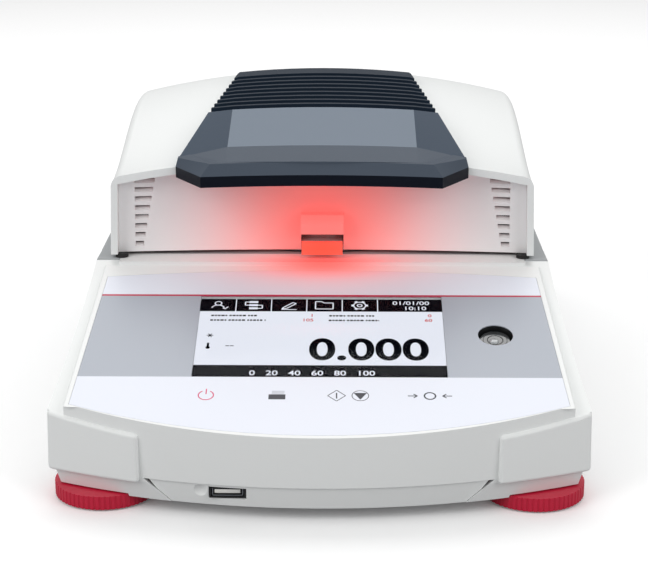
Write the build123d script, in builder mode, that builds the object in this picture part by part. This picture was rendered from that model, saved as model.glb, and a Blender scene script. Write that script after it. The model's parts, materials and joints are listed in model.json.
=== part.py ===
"""Bench moisture analyzer: a sloped console in front and a heated chamber under a hinged lid.

Millimetres, +Z up. The origin is at the centre of the footprint, on the bench. The front faces -Y.
"""
from build123d import *
from math import copysign, cos, radians, sin, sqrt, tan
import os

os.makedirs("parts", exist_ok=True)

# Overall footprint
front_y = -161.4
rear_y = 159.6
nose_radius = 241.0
front_half_width = 104.0
middle_half_width = 97.3
rear_half_width = 96.3
middle_y = -20.0
corner_round = 8.0
front_corner_round = 2.5
side_draw_in = 1.4
side_bow = 1.6
back_bow = 5.0
plateau_root = 12.0
plateau_edge = 0.9

# Wall thicknesses and clearances
wall = 2.6
plate = 2.0
seat_gap = 0.3
running_gap = 0.05

# Console
slope = 16.0
screen_y = -123.0
screen_z = 45.4
console_end = 85.0
plateau_half_front = 96.7
plateau_half_back = 92.0
shoulder_front_z = 36.5
shoulder_front_y = -137.0
rear_panel_z = 36.0
rear_panel_width = 160.0
rear_panel_height = 44.0
window_width = 98.84
window_height = 56.0
film_thickness = 0.4
film_front = 33.8
film_back = 75.7
film_margin = 2.2
front_margin = 4.7
key_row = -11.8
key_places = {"power": -43.0, "print": -16.0, "start": 11.6, "tare": 38.8}
key_radius = 5.0
key_height = 2.6
key_travel = 0.3
level_x = 69.7
level_row = 28.6
level_radius = 7.0
level_depth = 5.0

# Base levels
body_bottom = 5.5
seam_z = 14.6
corner_block_bottom = 13.0
corner_block_inner = 67.5
corner_block_back = -118.0
block_edge = 1.3
skirt_recess = 1.8
skirt_recess_seam = 2.6
skirt_top = 40.0
lower_draw_in = 4.6
front_strip_top_half = 66.0
front_strip_bottom_half = 55.5
lower_body_top = 13.0

# Deck and chamber
deck_thickness = 3.0
deck_y = -41.3
sill_half = 86.0
sill_depth = 7.2
deck_edge = 1.0
chamber_y = 28.0
well_radius = 59.6
well_depth = 6.8
stem_hole_radius = 12.0
floor_shield_thickness = 0.8
ring_outer = 58.2
ring_wall = 1.2
ring_top = 77.0
ledge_z = 70.7
ledge_inner = 52.5

# Pan, its handler and its support
pan_radius = 45.0
pan_rim_radius = 47.5
pan_wall = 0.6
pan_bottom = 71.8
pan_height = 6.2
handler_inner = 46.2
handler_outer = 54.5
handler_thickness = 2.0
tongue_width = 17.4
tongue_tip_y = -42.6
tongue_low = 70.9
tongue_high = 76.5
spider_thickness = 1.6

# Lid
lid_bottom = 70.4
lid_half_bottom = 90.0
lid_draft = 1.8
lid_wall = 2.8
lid_height = 60.0
lid_edge_round = 5.0
panel_height = 30.0
hood_reach = 7.0
hood_height = 8.0
hinge_y = 128.0
hinge_z = 82.0
hinge_round = 12.5
# Per station: its depth, then the height of the side edge and of the crown there
lid_stations = [(deck_y, 104.0, 113.0), (15.0, 112.9, 125.6), (62.0, 118.6, 130.0),
                (100.0, 113.0, 123.8), (hinge_y + hinge_round, 101.5, 110.6)]
panel_recess_side = 4.0
panel_sagitta = 5.0
panel_thickness = 2.4
panel_gap = 0.05
notch_width = 18.2
notch_top = 79.0
slot_count = 8
slot_pitch = 3.94
slot_height = 2.2
slot_first_z = 73.9
slot_outer_x = 80.0
slot_short = 3.7
slot_long = 8.6
slot_lean = -0.4
slot_gap = 0.7
bumper_x = 85.6
bumper_radius = 2.8

# Lid cover: per station, the half width, the height there, the facet height and its crown
facet_half = 39.6
cover_stations = {-54.0: (44.6, 113.6, 113.8, 0.4), -40.0: (60.0, 112.6, 117.2, 0.8),
                  -1.5: (49.6, 125.0, 126.0, 1.2), 53.4: (40.4, 131.2, 131.8, 2.0),
                  100.0: (40.4, 122.8, 123.2, 2.0), 134.0: (40.4, 113.4, 113.8, 1.6)}
cover_floor = 98.0
lip_end_half = 61.3
lip_end_y = -42.5
lip_end_back = 3.0
lip_top_end = (61.0, -40.0, 112.7)
lip_top_corner = (46.0, -56.5, 114.0)
lip_top_crease = (39.6, -40.0, 117.2)
lip_corner_half = 49.5
lip_corner_y = -61.0
lip_middle_y = -57.0
lip_bottom = 104.6
lip_band = 4.6
lip_chamfer = 4.6
lip_set_back = 3.6
groove_first_y = -1.5
groove_pitch = 5.62
groove_count = 9
groove_width = 4.0
groove_depth = 1.9
groove_side = 1.2
lens_half = 44.0
lens_width = 5.0
lens_drop = 1.2
lamp_gap = 0.6
status_sheet = 1.0

# Heater
heater_radius = 56.0
liner_z = 84.0
glass_z = 97.0
glass_thickness = 2.0
lamp_z = 104.4
lamp_radius = 40.0
lamp_tube = 5.0

# Heater details and hinges
liner_half = 86.4
liner_front_y = -27.0
liner_rear_y = 118.0
liner_sheet = 1.2
reflector_top = 113.0
lamp_arc = 326.0
probe_low = 86.0
hinge_x = 60.0
bracket_width = 8.0
bracket_radius = 6.0
arm_width = 5.0
pin_radius = 2.5
pin_half = 10.0

# Sockets
usb_x = -34.0
usb_z = 11.0
usb_width = 13.6
usb_height = 4.2
usb_depth = 9.0
strip_recess = 0.6
thumb_reach = 4.0
thumb_radius = 4.0
inlet_depth = 19.0
rear_sockets = {"mains": (50.0, (28.0, 20.0)), "fuse": (20.0, (14.0, 14.0)),
                "serial": (-30.0, (31.0, 12.5)), "usb": (-62.0, (12.0, 11.0))}

# Inside the base
cell_top = 50.0
cell_height = 24.0
cell_length = 100.0
cell_width = 30.0
support_stem_radius = 4.0
glass_sheet = 1.1
module_depth = 6.0
stem_length = 16.0
wheel_room = 0.6
foot_nut_radius = 10.4

# Levelling feet
foot_x = 83.0
foot_y = -128.5
foot_wheel_radius = 19.7
foot_wheel_low = 0.7
foot_wheel_height = 5.3
foot_flutes = 60
stem_radius = 4.0
pad_radius = 9.0
rear_foot_x = 78.0
rear_foot_y = 130.0
rear_foot_radius = 9.0

# Screws
screw_radius = 1.5
screw_head_radius = 2.9
screw_head_height = 1.6
screw_length = 9.0
boss_radius = 4.4
boss_height = 14.0
housing_screw_x = 87.0
housing_screw_y = (-80.0, 20.0, 112.0)
lid_screw_x = 78.0
lid_screw_y = (-18.0, 108.0)
screw_slot = 0.8

# Worked out from the sizes above
deck_top = screen_z + console_end * sin(radians(slope))
deck_under = deck_top - deck_thickness
shoulder_rear_z = deck_top - 0.8
reach = front_half_width + 10.0
console_plane = Plane(origin=(0, screen_y, screen_z), x_dir=(1, 0, 0),
                      z_dir=(0, -sin(radians(slope)), cos(radians(slope))))
well_floor = deck_top - well_depth
pan_top = pan_bottom + pan_height
film_seat = console_plane.offset(-film_thickness)
rear_wall_y = hinge_y + hinge_round
lid_places = [y for y, edge, crown in lid_stations]
edge_heights = {y: edge for y, edge, crown in lid_stations}
crown_heights = {y: crown for y, edge, crown in lid_stations}
housing_screw_places = [(side * housing_screw_x, y) for side in (-1, 1) for y in housing_screw_y]
lid_screw_places = [(side * lid_screw_x, y) for side in (-1, 1) for y in lid_screw_y]


def nose_y(x, inset=0.0):
    """Place of the curved front at a distance from the middle."""
    radius = nose_radius - inset
    return front_y + nose_radius - sqrt(radius * radius - x * x)


def footprint(inset, level):
    """Plan outline of the base, drawn in by an inset, at one level."""
    x_front = front_half_width - inset
    x_middle = middle_half_width - inset
    x_rear = rear_half_width - inset
    y_rear = rear_y - inset
    y_corner = nose_y(x_front, inset)
    with BuildSketch(Plane.XY.offset(level)) as outline:
        with BuildLine():
            ThreePointArc((0, front_y + inset), (x_front / 2, nose_y(x_front / 2, inset)),
                          (x_front, y_corner))
            bend = ((x_front + x_middle) / 2 - side_bow, (y_corner + middle_y) / 2)
            ThreePointArc((x_front, y_corner), bend, (x_middle, middle_y))
            Polyline((x_middle, middle_y), (x_rear, y_rear), (0, y_rear))
            mirror(about=Plane.YZ)
        make_face()
        corners = outline.vertices().filter_by(lambda v: abs(v.X) > x_rear - 1)
        fillet(corners.filter_by(lambda v: v.Y > y_rear - 1), max(corner_round - inset, 2.0))
        corners = outline.vertices().filter_by(lambda v: abs(v.X) > x_front - 1)
        fillet(corners.filter_by(lambda v: v.Y < y_corner + 1), max(front_corner_round - inset, 0.8))
    return outline.sketch


def side_profile(drop, low):
    """Side view of the shoulders and the flat rear, lowered by a drop."""
    rise = (shoulder_rear_z - shoulder_front_z) / (deck_y - shoulder_front_y)
    ahead = front_y - corner_round
    behind = rear_y + corner_round
    with BuildSketch(Plane.YZ) as profile:
        with BuildLine():
            Polyline((ahead, low), (ahead, shoulder_front_z + rise * (ahead - shoulder_front_y) - drop),
                     (deck_y, shoulder_rear_z - drop), (deck_y, deck_under - drop),
                     (behind, deck_under - drop), (behind, low), close=True)
        make_face()
    return profile.sketch


def plateau_outline(plane, inset, back):
    """Outline of the raised console on a plane parallel to it, drawn in by an inset."""
    front = inset - film_front - front_margin
    x_front = plateau_half_front - inset
    x_back = plateau_half_back - inset
    with BuildSketch(plane) as outline:
        with BuildLine():
            ThreePointArc((0, front), (x_front / 2, front + (x_front / 2) ** 2 / (2 * nose_radius)),
                          (x_front, front + x_front ** 2 / (2 * nose_radius)))
            Line((x_front, front + x_front ** 2 / (2 * nose_radius)), (x_back, back - back_bow))
            ThreePointArc((x_back, back - back_bow), (x_back / 2, back - back_bow / 4), (0, back))
            mirror(about=Plane.YZ)
        make_face()
    return outline.sketch


def front_band(half_width, inset, low, ahead):
    """Plan area ahead of the curved front, used to set the front back between two sides."""
    y_side = nose_y(half_width, inset)
    with BuildSketch(Plane.XY.offset(low)) as band:
        with BuildLine():
            ThreePointArc((-half_width, y_side), (0, front_y + inset), (half_width, y_side))
            Polyline((half_width, y_side), (half_width + 1, front_y - ahead),
                     (-half_width - 1, front_y - ahead), (-half_width, y_side))
        make_face()
    return band.sketch


# Upper housing: one moulded shell with the raised console and the corner blocks
with BuildPart() as hollow:
    loft([footprint(wall + lower_draw_in, body_bottom - 1),
          footprint(wall + skirt_recess_seam, lower_body_top + wall)])
    loft([footprint(wall, lower_body_top + wall), footprint(wall + side_draw_in, deck_top)])
    extrude(side_profile(wall, body_bottom - 2), amount=reach, both=True, mode=Mode.INTERSECT)
    extrude(front_band(front_half_width, wall + skirt_recess_seam + seat_gap, body_bottom - 2, 20),
            amount=deck_top, mode=Mode.SUBTRACT)
    # Bosses for the housing screws stay, each with a web to the side wall
    with BuildSketch(Plane.XY.offset(body_bottom + plate)):
        with Locations(*housing_screw_places):
            Circle(boss_radius)
        with Locations(*[(x + copysign(reach / 2, x), y) for x, y in housing_screw_places]):
            Rectangle(reach, plate)
    extrude(amount=boss_height, mode=Mode.SUBTRACT)

with BuildPart() as plateau:
    extrude(plateau_outline(console_plane, 0, console_end), amount=plateau_root, dir=(0, 0, -1))
    fillet(plateau.faces().filter_by(console_plane).edges(), plateau_edge)

with BuildPart() as corner_block:
    loft([footprint(0, corner_block_bottom), footprint(side_draw_in, deck_top)])
    extrude(side_profile(0, body_bottom - 1), amount=reach, both=True, mode=Mode.INTERSECT)
    with BuildSketch(Plane.XY.offset(corner_block_bottom)):
        with Locations((corner_block_inner + reach / 2, corner_block_back - reach / 2)):
            Rectangle(reach, reach)
    extrude(amount=deck_top, mode=Mode.INTERSECT)
    fillet(corner_block.edges().filter_by(lambda e: e.center().Y < corner_block_back - 15), block_edge)

with BuildPart() as console_shell:
    loft([footprint(lower_draw_in, body_bottom), footprint(skirt_recess_seam, lower_body_top)])
    loft([footprint(0, lower_body_top), footprint(side_draw_in, deck_top)])
    extrude(side_profile(0, body_bottom - 1), amount=reach, both=True, mode=Mode.INTERSECT)
    add(plateau.part)
    # The front lies back from the corner blocks
    loft([front_band(front_half_width, skirt_recess_seam, lower_body_top, 10),
          front_band(front_half_width, skirt_recess, skirt_top, 10)], mode=Mode.SUBTRACT)
    add(corner_block.part)
    add(mirror(corner_block.part, about=Plane.YZ))
    with BuildSketch(Plane.XY.offset(deck_under)):
        with Locations((0, deck_y + rear_y)):
            Rectangle(2 * reach, 2 * rear_y)
        with Locations((0, deck_y)):
            Rectangle(2 * sill_half, 2 * sill_depth, mode=Mode.SUBTRACT)
    extrude(amount=2 * deck_thickness, mode=Mode.SUBTRACT)
    # The sill under the lid's front carries the console's top back to the deck
    with BuildSketch(Plane.XY.offset(deck_under - wall)):
        with Locations((0, deck_y + sill_depth / 2 - wall)):
            Rectangle(2 * sill_half, sill_depth + 2 * wall)
    extrude(amount=deck_top - deck_under + wall)
    add(hollow.part, mode=Mode.SUBTRACT)
    extrude(plateau_outline(console_plane.offset(-wall), 3 * wall, console_end - wall),
            amount=plateau_root, dir=(0, 0, -1), mode=Mode.SUBTRACT)
    # Holes for the housing screws in their bosses
    with BuildSketch(Plane.XY.offset(body_bottom + plate)):
        with Locations(*housing_screw_places):
            Circle(screw_radius + running_gap)
    extrude(amount=screw_length + running_gap, mode=Mode.SUBTRACT)
    # Seat of the film, display window, key holes and level hole
    extrude(plateau_outline(film_seat, film_margin, film_back), amount=film_thickness + 1,
            mode=Mode.SUBTRACT)
    with BuildSketch(film_seat):
        with Locations((0, window_height / 2)):
            Rectangle(window_width + 1.0, window_height + 1.0)
        with Locations(*[(x, key_row) for x in key_places.values()]):
            Circle(key_radius + seat_gap)
        with Locations((level_x, level_row)):
            Circle(level_radius + 1.0 + seat_gap)
    extrude(amount=-4 * wall, mode=Mode.SUBTRACT)
    # Room for the levelling wheels
    with BuildSketch(Plane.XY.offset(body_bottom - 1)):
        with Locations((foot_x, foot_y), (-foot_x, foot_y)):
            Circle(foot_wheel_radius + wheel_room)
    extrude(amount=foot_wheel_low + foot_wheel_height + wheel_room - body_bottom + 1,
            mode=Mode.SUBTRACT)
    # Openings for the chamber well, the rear panel and the front strip of the tray
    with BuildSketch(Plane.XY.offset(deck_under + 1)):
        with Locations((0, chamber_y)):
            Circle(well_radius + plate + seat_gap)
    extrude(amount=-3 * wall, mode=Mode.SUBTRACT)
    with BuildSketch(Plane.XZ.offset(-rear_y + 3 * wall)):
        with Locations((0, rear_panel_z)):
            Rectangle(rear_panel_width, rear_panel_height)
    extrude(amount=-6 * wall, mode=Mode.SUBTRACT)
    with BuildSketch(Plane.XZ.offset(-front_y - 20.0)):
        with BuildLine():
            Polyline((-front_strip_bottom_half, body_bottom), (-front_strip_top_half, seam_z),
                     (front_strip_top_half, seam_z), (front_strip_bottom_half, body_bottom),
                     (front_strip_bottom_half, body_bottom - 2),
                     (-front_strip_bottom_half, body_bottom - 2), close=True)
        make_face()
    extrude(amount=40.0, mode=Mode.SUBTRACT)
console_shell.part.label = "console_shell"
export_step(console_shell.part, "parts/console_shell.step")


# Lower housing: floor tray with the front strip that fills the shell's opening
with BuildPart() as base_tray:
    extrude(footprint(wall + lower_draw_in + seat_gap, body_bottom), amount=plate)
    with BuildSketch(Plane.XY.offset(body_bottom)):
        with Locations((foot_x, foot_y), (-foot_x, foot_y)):
            Circle(foot_wheel_radius + 2.0)
    extrude(amount=plate, mode=Mode.SUBTRACT)
    with BuildSketch(Plane.XY.offset(body_bottom)):
        with Locations(*housing_screw_places):
            Circle(screw_radius + running_gap)
    extrude(amount=plate, mode=Mode.SUBTRACT)
    with BuildPart(mode=Mode.PRIVATE) as strip:
        with BuildSketch(Plane.XZ.offset(-front_y - 12.0)):
            with BuildLine():
                Polyline((-front_strip_bottom_half + seat_gap, body_bottom),
                         (-front_strip_top_half + 2 * seat_gap, seam_z - seat_gap),
                         (front_strip_top_half - 2 * seat_gap, seam_z - seat_gap),
                         (front_strip_bottom_half - seat_gap, body_bottom), close=True)
            make_face()
        extrude(amount=20.0)
        loft([front_band(front_half_width - 10, lower_draw_in + strip_recess, body_bottom - 1, 30),
              front_band(front_half_width - 10, skirt_recess_seam + strip_recess, seam_z, 30)],
             mode=Mode.SUBTRACT)
        with BuildSketch(Plane.XZ.offset(-front_y - 14.0)):
            with Locations((usb_x, usb_z)):
                Rectangle(usb_width + 2 * seat_gap, usb_height + 2 * seat_gap)
        extrude(amount=20.0, mode=Mode.SUBTRACT)
        with Locations(Pos(usb_x - usb_width / 2 - thumb_reach, nose_y(usb_x, skirt_recess_seam), usb_z)):
            Sphere(thumb_radius, mode=Mode.SUBTRACT)
    add(strip.part)
base_tray.part.label = "base_tray"
export_step(base_tray.part, "parts/base_tray.step")



# One screw with a cross slot: its head hangs under the seat, its shank points up
with BuildPart() as screw:
    with BuildSketch():
        Circle(screw_head_radius)
    extrude(amount=-screw_head_height)
    fillet(screw.faces().sort_by(Axis.Z)[0].edges(), screw_slot)
    with BuildSketch():
        Circle(screw_radius)
    extrude(amount=screw_length)
    with BuildSketch(Plane.XY.offset(-screw_head_height)):
        Rectangle(2.6 * screw_radius, screw_slot)
        Rectangle(screw_slot, 2.6 * screw_radius)
    extrude(amount=screw_slot, mode=Mode.SUBTRACT)

with BuildPart() as housing_screws:
    with Locations(*[(x, y, body_bottom) for x, y in housing_screw_places]):
        add(screw.part)
housing_screws.part.label = "housing_screws"
export_step(housing_screws.part, "parts/housing_screws.step")

with BuildPart() as usb_front_socket:
    usb_mouth = nose_y(usb_x, (lower_draw_in + skirt_recess_seam) / 2 + strip_recess) + 0.2
    with BuildSketch(Plane.XZ.offset(-usb_mouth)):
        with Locations((usb_x, usb_z)):
            Rectangle(usb_width, usb_height)
            Rectangle(usb_width - 1.4, usb_height - 1.0, mode=Mode.SUBTRACT)
            with Locations((0, 0.8)):
                Rectangle(usb_width - 3.0, 1.6)
    extrude(amount=-usb_depth)
    with BuildSketch(Plane.XZ.offset(-usb_mouth - usb_depth)):
        with Locations((usb_x, usb_z)):
            Rectangle(usb_width, usb_height)
    extrude(amount=-1.5)
usb_front_socket.part.label = "usb_front_socket"
export_step(usb_front_socket.part, "parts/usb_front_socket.step")

# Rear panel with its sockets
panel_y = rear_y - side_draw_in - plate
with BuildPart() as rear_panel:
    with BuildSketch(Plane.XZ.offset(-panel_y)):
        with Locations((0, rear_panel_z)):
            Rectangle(rear_panel_width - 2 * seat_gap, rear_panel_height - 2 * seat_gap)
        for spot, size in rear_sockets.values():
            with Locations((spot, rear_panel_z)):
                Rectangle(size[0] + 2 * seat_gap, size[1] + 2 * seat_gap, mode=Mode.SUBTRACT)
    extrude(amount=plate, both=False)
rear_panel.part.label = "rear_panel"
export_step(rear_panel.part, "parts/rear_panel.step")

with BuildPart() as mains_inlet:
    inlet_x, inlet_size = rear_sockets["mains"]
    with BuildSketch(Plane.XZ.offset(-panel_y - 1.0)):
        with Locations((inlet_x, rear_panel_z)):
            Rectangle(inlet_size[0] , inlet_size[1])
    extrude(amount=inlet_depth)
    with BuildSketch(Plane.XZ.offset(-panel_y - 1.0)):
        with Locations((inlet_x, rear_panel_z)):
            RectangleRounded(inlet_size[0] - 3.0, inlet_size[1] - 2.5, 2.0)
    extrude(amount=inlet_depth - 3.0, mode=Mode.SUBTRACT)
mains_inlet.part.label = "mains_inlet"
export_step(mains_inlet.part, "parts/mains_inlet.step")

with BuildPart() as mains_pins:
    with BuildSketch(Plane.XZ.offset(-panel_y + inlet_depth - 4.0)):
        with Locations((inlet_x - 7, rear_panel_z - 2), (inlet_x, rear_panel_z + 2),
                       (inlet_x + 7, rear_panel_z - 2)):
            Rectangle(2.0, 4.0)
    extrude(amount=-inlet_depth + 6.0)
mains_pins.part.label = "mains_pins"
export_step(mains_pins.part, "parts/mains_pins.step")

for socket_name, node_name in (("serial", "serial_socket"), ("usb", "usb_device_socket"),
                               ("fuse", "fuse_holder")):
    socket_x, socket_size = rear_sockets[socket_name]
    with BuildPart() as rear_socket:
        with BuildSketch(Plane.XZ.offset(-panel_y - 1.0)):
            with Locations((socket_x, rear_panel_z)):
                RectangleRounded(socket_size[0], socket_size[1], 1.5)
        extrude(amount=10.0)
        with BuildSketch(Plane.XZ.offset(-panel_y - 1.0)):
            with Locations((socket_x, rear_panel_z)):
                Rectangle(socket_size[0] * 0.7, 1.4)
        extrude(amount=3.0, mode=Mode.SUBTRACT)
    rear_socket.part.label = node_name
    export_step(rear_socket.part, "parts/" + node_name + ".step")

# Deck: grey top of the chamber housing with its well
with BuildPart() as chamber_deck:
    loft([footprint(side_draw_in, deck_under), footprint(side_draw_in, deck_top)])
    with BuildSketch(Plane.XY.offset(deck_under - 1)):
        with Locations((0, deck_y - reach)):
            Rectangle(4 * reach, 2 * reach)
        with Locations((0, deck_y)):
            Rectangle(2 * (sill_half + seat_gap), 2 * (sill_depth + seat_gap))
    extrude(amount=deck_thickness + 2, mode=Mode.SUBTRACT)
    fillet(chamber_deck.faces().sort_by(Axis.Z)[-1].edges().filter_by(
        lambda e: abs(e.center().X) > middle_half_width - 10 or e.center().Y > rear_y - 5), deck_edge)
    with BuildSketch(Plane.XY.offset(well_floor - plate)):
        with Locations((0, chamber_y)):
            Circle(well_radius + plate)
    extrude(amount=deck_top - well_floor + plate)
    with BuildSketch(Plane.XY.offset(well_floor)):
        with Locations((0, chamber_y)):
            Circle(well_radius)
    extrude(amount=well_depth + 1, mode=Mode.SUBTRACT)
    with Locations(Pos(0, chamber_y, well_floor)):
        Hole(stem_hole_radius)
chamber_deck.part.label = "chamber_deck"
export_step(chamber_deck.part, "parts/chamber_deck.step")

with BuildPart() as floor_shield:
    with BuildSketch(Plane.XY.offset(well_floor)):
        with Locations((0, chamber_y)):
            Circle(well_radius - seat_gap)
            Circle(stem_hole_radius - 2.0, mode=Mode.SUBTRACT)
    extrude(amount=floor_shield_thickness)
floor_shield.part.label = "floor_shield"
export_step(floor_shield.part, "parts/floor_shield.step")

with BuildPart() as draft_shield:
    shield_floor = well_floor + floor_shield_thickness
    with BuildSketch(Plane.XY.offset(shield_floor)):
        with Locations((0, chamber_y)):
            Circle(ring_outer)
            Circle(ring_outer - ring_wall, mode=Mode.SUBTRACT)
    extrude(amount=ring_top - shield_floor)
    with BuildSketch(Plane.XY.offset(ledge_z)):
        with Locations((0, chamber_y)):
            Circle(ring_outer - ring_wall / 2)
            Circle(ledge_inner, mode=Mode.SUBTRACT)
    extrude(amount=ring_wall)
    with BuildSketch(Plane.XY.offset(ledge_z + ring_wall)):
        with Locations((0, chamber_y - ring_outer)):
            Rectangle(tongue_width + 1.2, 20.0)
    extrude(amount=ring_top, mode=Mode.SUBTRACT)
draft_shield.part.label = "draft_shield"
export_step(draft_shield.part, "parts/draft_shield.step")

# Pan, handler and support
with BuildPart() as sample_pan:
    with BuildSketch(Plane.XZ) as pan_section:
        with BuildLine():
            Polyline((0, pan_bottom), (pan_radius - 2, pan_bottom), (pan_radius, pan_bottom + 2),
                     (pan_radius, pan_top - pan_wall), (pan_rim_radius, pan_top - pan_wall),
                     (pan_rim_radius, pan_top), (pan_radius - pan_wall, pan_top),
                     (pan_radius - pan_wall, pan_bottom + 2.2), (pan_radius - 2.2, pan_bottom + pan_wall),
                     (0, pan_bottom + pan_wall), close=True)
        make_face()
    revolve(axis=Axis.Z)
sample_pan.part.label = "sample_pan"
sample_pan_placed = Pos(0, chamber_y, 0) * sample_pan.part
sample_pan_placed.label = "sample_pan"
export_step(sample_pan_placed, "parts/sample_pan.step")

handler_low = ledge_z + ring_wall + running_gap
with BuildPart() as pan_handler:
    with BuildSketch(Plane.XY.offset(handler_low)):
        with Locations((0, chamber_y)):
            Circle(handler_outer)
            Circle(handler_inner, mode=Mode.SUBTRACT)
    extrude(amount=handler_thickness)
pan_handler.part.label = "pan_handler"
export_step(pan_handler.part, "parts/pan_handler.step")

with BuildPart() as handler_grip:
    with BuildSketch(Plane.XY.offset(handler_low)):
        with Locations((0, (chamber_y - handler_inner + tongue_tip_y) / 2)):
            Rectangle(tongue_width, chamber_y - handler_inner - tongue_tip_y)
        with Locations((0, chamber_y)):
            Circle(handler_outer, mode=Mode.SUBTRACT)
    extrude(amount=handler_thickness)
    with BuildSketch(Plane.XY.offset(tongue_low)):
        with Locations((0, tongue_tip_y + handler_thickness / 2)):
            Rectangle(tongue_width, handler_thickness)
    extrude(amount=tongue_high - tongue_low)
handler_grip.part.label = "handler_grip"
export_step(handler_grip.part, "parts/handler_grip.step")

with BuildPart() as pan_support:
    spider_z = pan_bottom - running_gap - spider_thickness
    with BuildSketch(Plane.XY.offset(spider_z)):
        with Locations((0, chamber_y)):
            Circle(8.0)
            with PolarLocations(0, 3, start_angle=90):
                with Locations((18.0, 0)):
                    SlotOverall(42.0, 6.0)
    extrude(amount=spider_thickness)
    with BuildSketch(Plane.XY.offset(cell_top)):
        with Locations((0, chamber_y)):
            Circle(support_stem_radius)
    extrude(amount=spider_z - cell_top)
pan_support.part.label = "pan_support"
export_step(pan_support.part, "parts/pan_support.step")

# Weighing cell: a bar with a parallel-guide cut-out, on a mounting block
with BuildPart() as weighing_cell:
    with BuildSketch(Plane.YZ.offset(-cell_width / 2)):
        with Locations((chamber_y - cell_length / 2 + 10, cell_top - cell_height / 2)):
            Rectangle(cell_length, cell_height)
            with Locations((-cell_length / 6, 0), (cell_length / 6, 0)):
                Circle(cell_height / 3, mode=Mode.SUBTRACT)
            Rectangle(cell_length / 3, cell_height / 6, mode=Mode.SUBTRACT)
    extrude(amount=cell_width)
weighing_cell.part.label = "weighing_cell"
export_step(weighing_cell.part, "parts/weighing_cell.step")

with BuildPart() as cell_block:
    tray_floor = body_bottom + plate
    with BuildSketch(Plane.XY.offset(tray_floor)):
        with Locations((0, chamber_y - cell_length + 22)):
            Rectangle(cell_width + 10, 24)
    extrude(amount=cell_top - cell_height - tray_floor)
cell_block.part.label = "cell_block"
export_step(cell_block.part, "parts/cell_block.step")

with BuildPart() as power_supply:
    with BuildSketch(Plane.XY.offset(tray_floor)):
        with Locations((inlet_x, rear_y - 62)):
            Rectangle(44, 76)
    extrude(amount=plate)
    with BuildSketch(Plane.XY.offset(tray_floor + plate)):
        with Locations((inlet_x - 6, rear_y - 76)):
            Rectangle(26, 30)
    extrude(amount=24)
    with BuildSketch(Plane.XY.offset(tray_floor + plate)):
        with Locations((inlet_x - 10, rear_y - 48), (inlet_x + 10, rear_y - 48)):
            Circle(7)
    extrude(amount=20)
power_supply.part.label = "power_supply"
export_step(power_supply.part, "parts/power_supply.step")

with BuildPart() as main_board:
    with BuildSketch(Plane.XY.offset(tray_floor)):
        with Locations((-inlet_x, rear_y - 70)):
            Rectangle(62, 100)
    extrude(amount=plate)
    with BuildSketch(Plane.XY.offset(tray_floor + plate)):
        with Locations((-inlet_x, rear_y - 80)):
            with GridLocations(24, 30, 2, 2):
                Rectangle(14, 14)
    extrude(amount=plate)
main_board.part.label = "main_board"
export_step(main_board.part, "parts/main_board.step")

# Console pieces on the console plane
with BuildPart() as control_overlay:
    extrude(plateau_outline(film_seat, film_margin + 0.15, film_back - 0.15), amount=film_thickness)
    with BuildSketch(film_seat):
        with Locations((0, window_height / 2)):
            Rectangle(window_width, window_height)
        with Locations((level_x, level_row)):
            Circle(level_radius)
    extrude(amount=film_thickness + 1, mode=Mode.SUBTRACT)
control_overlay.part.label = "control_overlay"
export_step(control_overlay.part, "parts/control_overlay.step")

with BuildPart() as display_glass:
    with BuildSketch(console_plane.offset(-film_thickness)):
        with Locations((0, window_height / 2)):
            Rectangle(window_width - 0.2, window_height - 0.2)
    extrude(amount=-glass_sheet)
display_glass.part.label = "display_glass"
export_step(display_glass.part, "parts/display_glass.step")

with BuildPart() as display_module:
    with BuildSketch(console_plane.offset(-film_thickness - glass_sheet)):
        with Locations((0, window_height / 2)):
            Rectangle(window_width - 0.2, window_height - 0.2)
    extrude(amount=-module_depth)
display_module.part.label = "display_module"
export_step(display_module.part, "parts/display_module.step")

for key_name, key_x in key_places.items():
    with BuildPart() as key:
        with BuildSketch(console_plane.offset(-film_thickness - running_gap)):
            with Locations((key_x, key_row)):
                Circle(key_radius)
        extrude(amount=-key_height)
    key.part.label = "key_" + key_name
    export_step(key.part, "parts/key_" + key_name + ".step")

with BuildPart() as key_board:
    with BuildSketch(console_plane.offset(-film_thickness - key_height - 2 * key_travel - wall)):
        with Locations((0, key_row)):
            Rectangle(110, 13)
    extrude(amount=-1.6)
    with BuildSketch(console_plane.offset(-film_thickness - key_height - running_gap - key_travel - 0.1)):
        with Locations(*[(x, key_row) for x in key_places.values()]):
            Circle(2.0)
    extrude(amount=-wall)
key_board.part.label = "key_board"
export_step(key_board.part, "parts/key_board.step")

with BuildPart() as level_cup:
    with BuildSketch(film_seat):
        with Locations((level_x, level_row)):
            Circle(level_radius + 1.0)
    extrude(amount=-level_depth - 5.0)
    with BuildSketch(film_seat):
        with Locations((level_x, level_row)):
            Circle(level_radius)
    extrude(amount=-level_depth, mode=Mode.SUBTRACT)
level_cup.part.label = "level_cup"
export_step(level_cup.part, "parts/level_cup.step")

with BuildPart() as level_vial:
    with BuildSketch(film_seat.offset(-level_depth)):
        with Locations((level_x, level_row)):
            Circle(level_radius - 1.0)
    extrude(amount=3.0)
level_vial.part.label = "level_vial"
export_step(level_vial.part, "parts/level_vial.step")

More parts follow.
